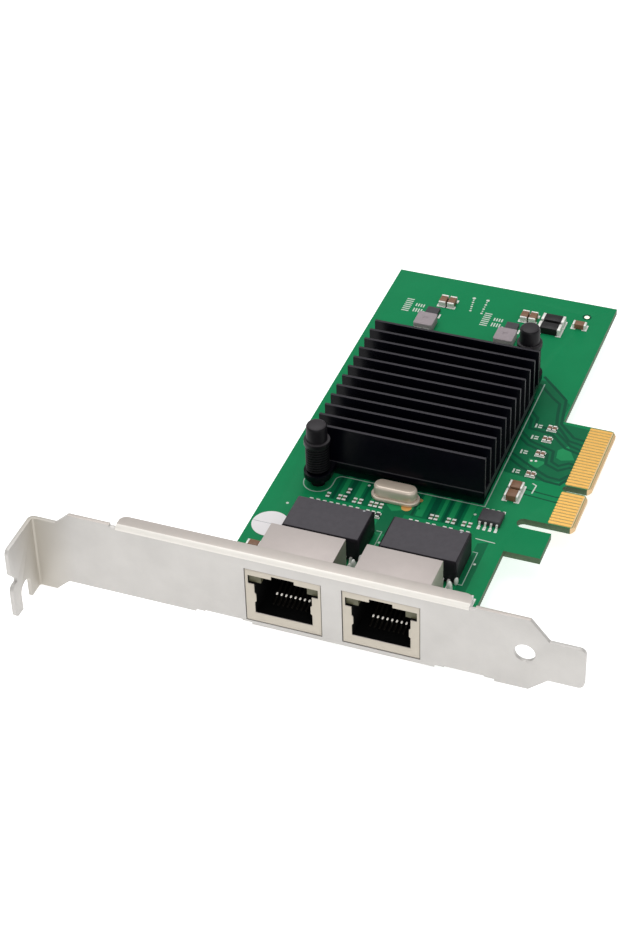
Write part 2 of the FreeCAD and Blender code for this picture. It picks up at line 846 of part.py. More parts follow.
def make_screw(number_in_name, x):
    """Pan-head screw with a cross recess, driven up through tab and board."""
    body = new_body("bracket_screw_" + number_in_name)
    head_low = f"{TAB_LOW} - screw_head_height"
    length = "screw_head_height + sheet + board_thickness + nut_height"
    pad(body, "XY_Plane", head_low, "screw_head_height", circles=[("0", "0", "screw_head")])
    pad(body, "XY_Plane", head_low, length, circles=[("0", "0", "screw_shank")])
    arm = "screw_recess / 2"
    bar = "screw_recess / 8"
    cross = [
        (f"-{arm}", f"-{bar}"), (f"-{bar}", f"-{bar}"), (f"-{bar}", f"-{arm}"), (bar, f"-{arm}"),
        (bar, f"-{bar}"), (arm, f"-{bar}"), (arm, bar), (bar, bar),
        (bar, arm), (f"-{bar}", arm), (f"-{bar}", bar), (f"-{arm}", bar),
    ]
    pocket(body, "XY_Plane", f"{head_low} - 1", "screw_head_height / 2 + 1", cross)
    low = number(head_low)

    def is_rim(edge):
        return lies_at(edge, z=low) and edge.Length > number("screw_head")

    dress(body, "Chamfer", "Size", "screw_head_height / 4", is_rim)
    place(body, x, "screw_y")
    return body


def make_nut(number_in_name, x):
    """Hexagon nut on the component side of the board."""
    body = new_body("bracket_nut_" + number_in_name)
    radius = "nut_flats / 2 / 0.8660254"
    corners = [(f"{radius} * cos({angle})", f"{radius} * sin({angle})") for angle in range(0, 360, 60)]
    pad(body, "XY_Plane", "0", "nut_height", corners)
    bore = [("0", "0", "screw_shank + 2 * nut_bore_gap")]
    pocket(body, "XY_Plane", "-1", "nut_height + 2", circles=bore)
    place(body, x, "screw_y")
    return body


# ---------------------------------------------------------------- network jacks


def port_opening(half_port, half_window):
    """The outline of a port seen from the front, with its window corners and latch slot."""
    return [
        (f"-({half_port})", "-port_floor"),
        (half_port, "-port_floor"),
        (half_port, "port_shelf"),
        (half_window, "port_shelf"),
        (half_window, "window_top"),
        ("latch_width / 2", "window_top"),
        ("latch_width / 2", "latch_top"),
        ("-latch_width / 2", "latch_top"),
        ("-latch_width / 2", "window_top"),
        (f"-({half_window})", "window_top"),
        (f"-({half_window})", "port_shelf"),
        (f"-({half_port})", "port_shelf"),
    ]


def stepped_side(inset, floor):
    """The jack's side profile: deep in the board's recess, shallow where it stands on the board."""
    return [
        (f"jack_front + {inset}", f"-jack_drop + {inset}"),
        (f"jack_step - {inset}", f"-jack_drop + {inset}"),
        (f"jack_step - {inset}", floor),
        (f"jack_rear - {inset}", floor),
        (f"jack_rear - {inset}", f"{JACK_TOP} - {inset}"),
        (f"jack_front + {inset}", f"{JACK_TOP} - {inset}"),
    ]


def make_jack_shield(name, centre):
    """Folded metal shield, open at the port and below its rear end, with two board pegs."""
    body = new_body("jack_shield_" + name)
    pad(body, "YZ_Plane", "-jack_width / 2", "jack_width", stepped_side("0", "0"))
    inner = ("-jack_width / 2 + shield_wall", "jack_width - 2 * shield_wall")
    pocket(body, "YZ_Plane", *inner, stepped_side("shield_wall", "0"))
    window = port_opening("port_width / 2", WINDOW_HALF)
    pocket(body, "XZ_Plane", "jack_front - 1", "shield_wall + 1.1", window)
    lower, upper = "spring_centre - spring_height / 2", "spring_centre + spring_height / 2"
    bulge = [
        ("port_width / 2", lower),
        ("port_width / 2", upper),
        ("port_width / 2 - spring_bulge", f"{upper} - spring_bulge"),
        ("port_width / 2 - spring_bulge", f"{lower} + spring_bulge"),
    ]
    spring = pad(body, "XZ_Plane", "jack_front", "shield_wall", bulge)
    mirror(body, [spring], "YZ_Plane")
    peg = rectangle("peg_y - peg_width / 2", "-peg_length", "peg_y + peg_width / 2", "0")
    for side in ("-jack_width / 2", "jack_width / 2 - shield_wall"):
        pad(body, "YZ_Plane", side, "shield_wall", peg)
    place(body, centre)
    return body


def make_jack_housing(name, centre):
    """Moulded insert that fills the shield, with the plug cavity."""
    body = new_body("jack_housing_" + name)
    inner = ("-jack_width / 2 + shield_wall", "jack_width - 2 * shield_wall")
    pad(body, "YZ_Plane", *inner, stepped_side("shield_wall", "0"))
    cavity = port_opening("port_width / 2 - cavity_lip", WINDOW_HALF)
    pocket(body, "XZ_Plane", "jack_front + shield_wall - 1", "port_depth + 1", cavity)
    place(body, centre)
    return body


def make_jack_contacts(name, centre):
    """Spring wires that slope up through the cavity, and the pins soldered to the board."""
    body = new_body("jack_contacts_" + name)
    back = "jack_front + shield_wall + port_depth"
    front = "jack_front + wire_setback"
    low = "-port_floor + 0.1"
    profile = [
        (front, low),
        (f"{front} + 1.2", low),
        (back, f"{low} + wire_rise"),
        (back, f"{low} + wire_rise + wire_thickness"),
        (f"{front} + 1.1", f"{low} + wire_thickness"),
        (front, f"{low} + wire_thickness"),
    ]
    first = "-(wire_count - 1) / 2 * wire_pitch - wire_width / 2"
    wire = pad(body, "YZ_Plane", first, "wire_width", profile)
    repeat(body, [wire], "X_Axis", "wire_pitch", "wire_count")
    row = "-(pin_count - 1) / 2 * pin_pitch"
    half = "pin_side / 2"
    for shift, y in (("- pin_pitch / 4", "pin_row_near"), ("+ pin_pitch / 4", "pin_row_far")):
        x = f"{row} {shift}"
        foot = rectangle(f"{x} - {half}", f"{y} - {half}", f"{x} + {half}", f"{y} + {half}")
        tail = pad(body, "XY_Plane", "-pin_length", "pin_length", foot)
        repeat(body, [tail], "X_Axis", "pin_pitch", "pin_count")
    place(body, centre)
    return body


def make_light_pipes(name, centre):
    """Two clear light pipes in the upper corners of the port."""
    pipes = []
    for left in (f"-{WINDOW_HALF}", f"{WINDOW_HALF} - pipe_width"):
        near = "jack_front + shield_wall + pipe_setback"
        height = "window_top - port_shelf - pipe_clearance"
        sizes = ("pipe_width", "pipe_length", height)
        pipes.append(block("Pipe", f"{centre} + {left}", near, "port_shelf", *sizes))
    return group("jack_light_pipes_" + name, pipes)


# ---------------------------------------------------------------- parts with gull-wing leads


def lead_profile(kind, half_depth, thickness, exit_height):
    """Side view of one gull-wing lead, in the YZ plane, on the far side of its part."""
    reach = f"{kind}_lead_reach"
    return [
        (half_depth, exit_height),
        (f"{half_depth} + {reach} * 0.25", exit_height),
        (f"{half_depth} + {reach} * 0.45", "0"),
        (f"{half_depth} + {reach}", "0"),
        (f"{half_depth} + {reach}", thickness),
        (f"{half_depth} + {reach} * 0.45 + {thickness} * 0.8", thickness),
        (f"{half_depth} + {reach} * 0.25 + {thickness} * 0.8", f"{exit_height} + {thickness}"),
        (half_depth, f"{exit_height} + {thickness}"),
    ]


def make_leads(label, kind, thickness, exit_height, x, y):
    """Two facing rows of gull-wing leads."""
    body = new_body(label)
    width, pitch, count = (f"{kind}_lead_{field}" for field in ("width", "pitch", "count"))
    first = f"-({count} - 1) / 2 * {pitch} - {width} / 2"
    profile = lead_profile(kind, f"{kind}_depth / 2", thickness, exit_height)
    lead = pad(body, "YZ_Plane", first, width, profile)
    repeat(body, [lead], "X_Axis", pitch, count)
    mirror_whole(body, "XZ_Plane")
    place(body, x, y)
    return body


def make_module(name, x):
    """Moulded isolation-transformer module."""
    body = new_body("magnetics_" + name)
    half_width, half_depth = "module_width / 2", "module_depth / 2"
    plan = rectangle(f"-{half_width}", f"-{half_depth}", half_width, half_depth)
    pad(body, "XY_Plane", "module_base", "module_height - module_base", plan)
    top = number("module_height")
    dress(body, "Chamfer", "Size", "module_round", lambda edge: is_upright(edge) or lies_at(edge, z=top))
    place(body, x, "module_y")
    return body


def make_chip(label, kind, x, y):
    """Small moulded chip with chamfered top edges."""
    body = new_body(label)
    half_width, half_depth = f"{kind}_width / 2", f"{kind}_depth / 2"
    plan = rectangle(f"-{half_width}", f"-{half_depth}", half_width, half_depth)
    pad(body, "XY_Plane", "body_standoff", f"{kind}_height - body_standoff", plan)
    top = number(f"{kind}_height")
    dress(body, "Chamfer", "Size", f"{kind}_height / 8", lambda edge: lies_at(edge, z=top))
    place(body, x, y)
    return body


# ---------------------------------------------------------------- controller and heatsink


def make_controller():
    """Controller package: substrate on its solder layer, with a smaller moulded cap."""
    body = new_body("controller_chip")
    for side, low, height in (
        ("chip_side * 0.9", "0", "chip_standoff"),
        ("chip_side", "chip_standoff", "chip_substrate"),
        ("chip_lid_side", "chip_standoff + chip_substrate", "chip_lid_height"),
    ):
        half = f"{side} / 2"
        pad(body, "XY_Plane", low, height, rectangle(f"-{half}", f"-{half}", half, half))
    place(body, COOLER_MIDDLE_X, COOLER_MIDDLE_Y)
    return body


def make_thermal_pad():
    """Soft pad between the controller and the heatsink."""
    corner_x = f"{COOLER_MIDDLE_X} - pad_side / 2"
    corner_y = f"{COOLER_MIDDLE_Y} - pad_side / 2"
    pad_block = block("thermal_pad", corner_x, corner_y, CHIP_TOP, "pad_side", "pad_side", "pad_height")
    pad_block.Label = "thermal_pad"
    NODES.append(pad_block)
    return pad_block


def make_heatsink():
    """Extruded aluminium heatsink: base plate, row of fins and two diagonal lugs."""
    body = new_body("heatsink")
    left, right = "-cooler_left", "cooler_width - cooler_left"
    far = "cooler_near + cooler_depth"
    near_left, near_right = f"{PIN_NEAR_X} - lug_width / 2", f"{PIN_NEAR_X} + lug_width / 2"
    far_left, far_right = f"{PIN_FAR_X} - lug_width / 2", f"{PIN_FAR_X} + lug_width / 2"
    plan = [
        (near_left, PIN_NEAR_Y, "lug_width / 2", 1),
        (PIN_NEAR_X, f"{PIN_NEAR_Y} - lug_width / 2", "lug_width / 2", 1),
        (near_right, PIN_NEAR_Y),
        (near_right, "cooler_near"),
        (right, "cooler_near"),
        (right, f"{far} - lug_flare"),
        (far_right, far),
        (far_right, PIN_FAR_Y, "lug_width / 2", 1),
        (PIN_FAR_X, f"{PIN_FAR_Y} + lug_width / 2", "lug_width / 2", 1),
        (far_left, PIN_FAR_Y),
        (far_left, far),
        (left, far),
        (left, "cooler_near + lug_flare"),
        (near_left, "cooler_near"),
    ]
    pad(body, "XY_Plane", COOLER_LOW, "cooler_base", plan)
    first = "cooler_near + fin_margin"
    fin_plan = rectangle(left, first, right, f"{first} + fin_thickness")
    fin = pad(body, "XY_Plane", COOLER_TOP, f"fin_top - {COOLER_TOP}", fin_plan)
    repeat(body, [fin], "Y_Axis", FIN_PITCH, "fin_count")
    bores = [(x, y, "pin_shank + 0.2") for x, y in PUSH_PINS.values()]
    pocket(body, "XY_Plane", f"{COOLER_LOW} - 1", "cooler_base + 2", circles=bores)
    return body


def make_push_pin(name, x, y):
    """Plastic push pin: domed head, collar, shank and a split barbed tail below the board."""
    body = new_body("push_pin_" + name)
    collar_low = "pin_head_top - pin_head_height - pin_collar_height"
    barb_top = "-board_thickness - 0.05"
    profile = [
        ("0", "-board_thickness - pin_tail"),
        ("pin_shank / 2 * 0.6", "-board_thickness - pin_tail"),
        ("pin_tail_barb / 2", "-board_thickness - pin_tail / 3"),
        ("pin_tail_barb / 2", barb_top),
        ("pin_shank / 2", barb_top),
        ("pin_shank / 2", collar_low),
        ("pin_collar / 2", collar_low),
        ("pin_collar / 2", "pin_head_top - pin_head_height"),
        ("pin_head / 2", "pin_head_top - pin_head_height"),
        ("pin_head / 2", "pin_head_top - pin_head_round"),
        ("pin_head / 2 - pin_head_round * 0.3", "pin_head_top - pin_head_round * 0.3"),
        ("pin_head / 2 - pin_head_round", "pin_head_top"),
        ("0", "pin_head_top"),
    ]
    revolve(body, profile)
    gap = rectangle("-pin_split / 2", "-pin_tail_barb", "pin_split / 2", "pin_tail_barb")
    pocket(body, "XY_Plane", "-board_thickness - pin_tail - 1", "pin_tail + 0.8", gap)
    place(body, x, y)
    return body


def make_spring(name, x, y):
    """Compression spring between the heatsink's lug and the push pin's collar."""
    wire = number("spring_wire")
    low = number(COOLER_TOP) + wire / 2
    high = number("pin_head_top - pin_head_height - pin_collar_height") - wire / 2
    radius = (number("spring_diameter") - wire) / 2
    steps = int(number("spring_turns") * SPRING_SIDES)
    path = []
    for step in range(steps + 1):
        turn = 2 * math.pi * step / SPRING_SIDES
        rise = (high - low) * step / steps
        path.append(FreeCAD.Vector(radius * math.cos(turn), radius * math.sin(turn), rise))
    start = path[1] - path[0]
    across = FreeCAD.Vector(0, 0, 1)
    outward = start.cross(across).normalize()
    corners = []
    for step in range(WIRE_SIDES + 1):
        turn = 2 * math.pi * step / WIRE_SIDES
        corners.append(path[0] + (outward * math.cos(turn) + across * math.sin(turn)) * (wire / 2))
    spring = doc.addObject("Part::Feature", "push_pin_spring_" + name)
    sweep = Part.makePolygon(path).makePipeShell([Part.makePolygon(corners)], True, False, 1)
    spring.Shape = sweep
    spring.Label = "push_pin_spring_" + name
    spring.Placement = FreeCAD.Placement(FreeCAD.Vector(number(x), number(y), low), FreeCAD.Rotation())
    NODES.append(spring)
    return spring


# ---------------------------------------------------------------- other components


def stadium(length, width):
    """A racetrack outline about the origin, long in X."""
    straight = f"({length} - {width}) / 2"
    half = f"{width} / 2"
    return [
        (f"-{straight}", f"-{half}"),
        (straight, f"-{half}", half, 1),
        (f"{length} / 2", "0", half, 1),
        (straight, half),
        (f"-{straight}", half, half, 1),
        (f"-{length} / 2", "0", half, 1),
    ]


def make_crystal():
    """Quartz crystal: flanged base and drawn can with a rounded top edge."""
    base = new_body("crystal_base")
    outline = stadium("crystal_base_length", "crystal_base_width")
    pad(base, "XY_Plane", "0", "crystal_base_height", outline)
    place(base, "-crystal_x", "crystal_y")
    can = new_body("crystal_can")
    outline = stadium("crystal_can_length", "crystal_can_width")
    height = "crystal_top - crystal_base_height"
    pad(can, "XY_Plane", "crystal_base_height", height, outline)
    top = number("crystal_top")
    dress(can, "Chamfer", "Size", "crystal_round", lambda edge: lies_at(edge, z=top))
    place(can, "-crystal_x", "crystal_y")


def make_inductor(name, x, y):
    """Moulded power inductor with a shallow round dimple in its top."""
    body = new_body("power_inductor_" + name)
    half_width, half_depth = "inductor_width / 2", "inductor_depth / 2"
    plan = rectangle(f"-{half_width}", f"-{half_depth}", half_width, half_depth)
    pad(body, "XY_Plane", "0", "inductor_height", plan)
    dress(body, "Fillet", "Radius", "inductor_round", is_upright)
    dimple = [("0", "0", "dimple_diameter")]
    pocket(body, "XY_Plane", "inductor_height - dimple_depth", "1", circles=dimple)
    place(body, x, y)
    return body


def make_regulator(name, x, y):
    """Flat square regulator chip behind its inductor."""
    half = "regulator_side / 2"
    sizes = ("regulator_side", "regulator_side", "regulator_height")
    chip = block("Regulator", f"{x} - {half}", f"{y} + regulator_offset - {half}", "0", *sizes)
    return group("regulator_chip_" + name, [chip])


def make_input_parts():
    """Two large chip parts at the far corner, with metal end caps."""
    bodies, caps = [], []
    for index in range(2):
        near = f"input_y - {index} * input_pitch - input_width / 2"
        left = "input_x - input_length / 2"
        bodies.append(
            block("Core", f"{left} + end_cap", near, "0", "input_length - 2 * end_cap", "input_width", "input_height")
        )
        for cap_left in (left, "input_x + input_length / 2 - end_cap"):
            caps.append(block("Cap", cap_left, near, "0", "end_cap", "input_width", "input_height"))
    group("input_chokes", bodies)
    group("input_choke_caps", caps)


def chip_part(kind, x, y, along):
    """The core and two end caps of one chip part, centred on x and y, lying along an axis."""
    length, width, height, cap = (f"{kind}_{field}" for field in ("length", "width", "height", "cap"))
    pieces = []
    for start, run in (("0", cap), (cap, f"{length} - 2 * {cap}"), (f"{length} - {cap}", cap)):
        near_end = f"- {length} / 2 + {start}"
        if along == "X":
            corner = (f"{x} {near_end}", f"{y} - {width} / 2")
            pieces.append(block("Chip", *corner, "0", run, width, height))
        else:
            corner = (f"{x} - {width} / 2", f"{y} {near_end}")
            pieces.append(block("Chip", *corner, "0", width, run, height))
    return pieces[1], [pieces[0], pieces[2]]


def chip_bank(label, caps_label, kind, spots):
    """Chip parts of one kind: their cores in one sub-part and their end caps in another."""
    parts = [chip_part(kind, *spot) for spot in spots]
    group(label, [core for core, caps in parts])
    group(caps_label, [cap for core, caps in parts for cap in caps])


def make_capacitors():
    """Ceramic capacitors: two banks and a corner one at the far end, two near the jacks, a bulk pair."""
    spots = []
    for start in ("-bank_left_x", "bank_right_x"):
        spots += [(f"{start} + {index} * capacitor_pitch", "bank_y", "Y") for index in range(2)]
    spots.append(("corner_capacitor_x", "corner_capacitor_y", "X"))
    spots.append(("-side_capacitor_x", "side_capacitor_y", "X"))
    spots.append(("foot_capacitor_x", "foot_capacitor_y", "X"))
    chip_bank("ceramic_capacitors", "ceramic_capacitor_caps", "capacitor", spots)
    spots = [("bulk_x", f"{BULK_NEAR} + bulk_width / 2 + {index} * bulk_pitch", "X") for index in range(2)]
    chip_bank("bulk_capacitors", "bulk_capacitor_caps", "bulk", spots)


def make_small_parts():
    """Small chip parts: resistors behind the modules, capacitors elsewhere."""
    row = []
    for start, pitch, count in (
        ("-row_left_x", "row_left_pitch", "row_left_count"),
        ("-row_middle_x", "row_middle_pitch", "row_middle_count"),
    ):
        row += [(f"{start} + {index} * {pitch}", "row_y", "Y") for index in range(SIZES[count])]
    for pair in range(SIZES["row_pair_count"]):
        start = f"row_pair_x + {pair} * row_pair_step"
        row += [(f"{start} + {index} * row_pair_pitch", "row_y", "Y") for index in range(2)]
    chip_bank("chip_resistors", "chip_resistor_caps", "small", row)
    spots = []
    near = BULK_FAR
    for gap in ("coupling_gap_bulk", "coupling_gap_second", "coupling_gap_third", "coupling_gap_far"):
        y = f"{near} + {gap} + small_length / 2"
        spots += [(f"coupling_x + {index} * coupling_pitch", y, "Y") for index in range(2)]
        near = f"({near} + {gap} + small_length)"
    for start in ("-output_left_x", "-output_right_x"):
        spots += [(f"{start} + {index} * output_pitch", "output_y", "Y") for index in range(SIZES["output_count"])]
    chip_bank("small_capacitors", "small_capacitor_caps", "small", spots)


def make_label():
    """Round inspection label on the board, beside the left module."""
    body = new_body("inspection_label")
    pad(body, "XY_Plane", "0", "label_thickness", circles=[("0", "0", "label_diameter")])
    place(body, "-label_x", "label_y")
    return body


# ---------------------------------------------------------------- assembly

make_board()
make_edge_contacts()
make_bracket()
for name, x in SCREWS.items():
    make_screw(name, x)
    make_nut(name, x)
for name, centre in PORTS.items():
    make_jack_shield(name, centre)
    make_jack_housing(name, centre)
    make_jack_contacts(name, centre)
    make_light_pipes(name, centre)
for name, x in (("1", "-module_left_x"), ("2", "module_right_x")):
    make_module(name, x)
    make_leads("magnetics_leads_" + name, "module", "module_lead_thickness", "module_lead_exit", x, "module_y")
make_controller()
make_thermal_pad()
make_heatsink()
for name, (x, y) in PUSH_PINS.items():
    make_push_pin(name, x, y)
    make_spring(name, x, y)
make_crystal()
for label, kind, x, y in (
    ("memory_chip", "memory", "memory_x", "memory_y"),
    ("supply_chip", "supply", "-supply_x", "supply_y"),
):
    make_chip(label, kind, x, y)
    make_leads(label + "_leads", kind, "lead_thickness", f"{kind}_height / 2", x, y)
for name, x, y in (
    ("1", "-inductor_left_x", "inductor_left_y"),
    ("2", "inductor_right_x", "inductor_right_y"),
):
    make_inductor(name, x, y)
    make_regulator(name, x, y)
make_input_parts()
make_capacitors()
make_small_parts()
make_label()

doc.recompute()
faults = [item.Name for item in doc.Objects if "Invalid" in item.State or "Error" in item.State]
faults += [node.Label for node in NODES if node.Shape.isNull() or not node.Shape.isValid()]
if faults:
    raise RuntimeError("these objects failed: " + ", ".join(faults))
os.makedirs("parts", exist_ok=True)
for node in NODES:
    node.Shape.exportStep(f"parts/{node.Label}.step")
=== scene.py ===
"""Looks of the network interface card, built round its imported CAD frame."""

import json
import math

import bmesh
import bpy
from mathutils import Matrix, Vector


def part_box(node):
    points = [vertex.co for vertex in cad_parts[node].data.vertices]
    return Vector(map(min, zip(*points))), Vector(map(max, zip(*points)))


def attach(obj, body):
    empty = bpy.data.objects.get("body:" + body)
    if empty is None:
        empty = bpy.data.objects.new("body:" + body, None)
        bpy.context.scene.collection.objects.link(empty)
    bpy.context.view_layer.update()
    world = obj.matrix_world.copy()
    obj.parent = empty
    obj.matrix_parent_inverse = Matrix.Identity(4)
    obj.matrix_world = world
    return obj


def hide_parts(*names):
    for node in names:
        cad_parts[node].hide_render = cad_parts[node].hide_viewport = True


MM = 0.001

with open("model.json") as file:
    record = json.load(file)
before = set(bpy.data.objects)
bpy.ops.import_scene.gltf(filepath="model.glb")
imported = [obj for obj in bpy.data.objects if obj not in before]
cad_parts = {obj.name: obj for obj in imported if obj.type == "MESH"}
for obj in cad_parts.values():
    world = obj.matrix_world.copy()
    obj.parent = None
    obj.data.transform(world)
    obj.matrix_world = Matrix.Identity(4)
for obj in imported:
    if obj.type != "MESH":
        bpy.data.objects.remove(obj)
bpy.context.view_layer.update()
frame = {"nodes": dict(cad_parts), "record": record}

NODES = frame["nodes"]
SLOTS = {part["node"]: part["material_slot"] for part in frame["record"]["subparts"]}
PAIR = ("1", "2")


# ---------------------------------------------------------------- materials

NOISE_DETAIL = 4.0
NOISE_ROUGHNESS = 0.6
NOISE_LOW, NOISE_HIGH = 0.3, 0.7
RELIEF_DEPTH = 0.02 * MM
ROUGHNESS_LOW, ROUGHNESS_HIGH = 0.88, 1.12
# The mix node's colour sockets share their names with its other kinds, so they go by number.
MIX_SHARE, MIX_FIRST, MIX_SECOND, MIX_RESULT = 0, 6, 7, 2


def principled(material):
    """The node that holds a material's plain values."""
    return material.node_tree.nodes["Principled BSDF"]


def shader(name, color, roughness, metallic=0.0, specular=0.3, glow=0.0):
    """A principled material; every plain value sits on its socket."""
    material = bpy.data.materials.new(name)
    material.use_nodes = True
    surface = principled(material)
    surface.inputs["Base Color"].default_value = (*color, 1.0)
    surface.inputs["Roughness"].default_value = roughness
    surface.inputs["Metallic"].default_value = metallic
    surface.inputs["Specular IOR Level"].default_value = specular
    surface.inputs["Emission Color"].default_value = (*color, 1.0)
    surface.inputs["Emission Strength"].default_value = glow
    return material


def add_node(material, kind, **values):
    """A new shader node with its sockets and fields set."""
    node = material.node_tree.nodes.new(kind)
    for key, value in values.items():
        if key in node.inputs:
            node.inputs[key].default_value = value
        else:
            setattr(node, key, value)
    return node


def wire(material, source, output, target, socket):
    """Joins one node's output to another's input."""
    material.node_tree.links.new(source.outputs[output], target.inputs[socket])


def mottle(material, color, other, scale, roughness=None, bump=0.0):
    """Noise in object space that varies the colour, the roughness and the relief."""
    surface = principled(material)
    place = add_node(material, "ShaderNodeTexCoord")
    noise = add_node(
        material, "ShaderNodeTexNoise", Scale=scale, Detail=NOISE_DETAIL, Roughness=NOISE_ROUGHNESS
    )
    wire(material, place, "Object", noise, "Vector")
    ramp = add_node(material, "ShaderNodeValToRGB")
    for stop, position, value in zip(ramp.color_ramp.elements, (NOISE_LOW, NOISE_HIGH), (color, other)):
        stop.position = position
        stop.color = (*value, 1.0)
    wire(material, noise, "Fac", ramp, "Fac")
    wire(material, ramp, "Color", surface, "Base Color")
    if roughness:
        spread = add_node(material, "ShaderNodeMapRange")
        spread.inputs["To Min"].default_value, spread.inputs["To Max"].default_value = roughness
        wire(material, noise, "Fac", spread, "Value")
        wire(material, spread, "Result", surface, "Roughness")
    if bump:
        relief = add_node(material, "ShaderNodeBump", Strength=bump, Distance=RELIEF_DEPTH)
        wire(material, noise, "Fac", relief, "Height")
        wire(material, relief, "Normal", surface, "Normal")


def shade_band(material, x, y, radius, color):
    """A soft upright band of painted shade round a line, in millimetres."""
    base = principled(material).inputs["Base Color"]
    place = add_node(material, "ShaderNodeTexCoord")
    per_metre = 1 / (radius * MM)
    mapping = add_node(
        material,
        "ShaderNodeMapping",
        Scale=(per_metre, per_metre, 0),
        Location=(-x / radius, -y / radius, 0),
    )
    wire(material, place, "Object", mapping, "Vector")
    band = add_node(material, "ShaderNodeTexGradient", gradient_type="SPHERICAL")
    wire(material, mapping, "Vector", band, "Vector")
    blend = add_node(material, "ShaderNodeMix", data_type="RGBA")
    blend.inputs[MIX_SECOND].default_value = (*color, 1.0)
    links = material.node_tree.links
    links.new(band.outputs["Fac"], blend.inputs[MIX_SHARE])
    links.new(base.links[0].from_socket, blend.inputs[MIX_FIRST])
    links.new(blend.outputs[MIX_RESULT], base)


def tone(color, factor):
    """The same colour, lighter or darker."""
    return tuple(min(1.0, part * factor) for part in color)


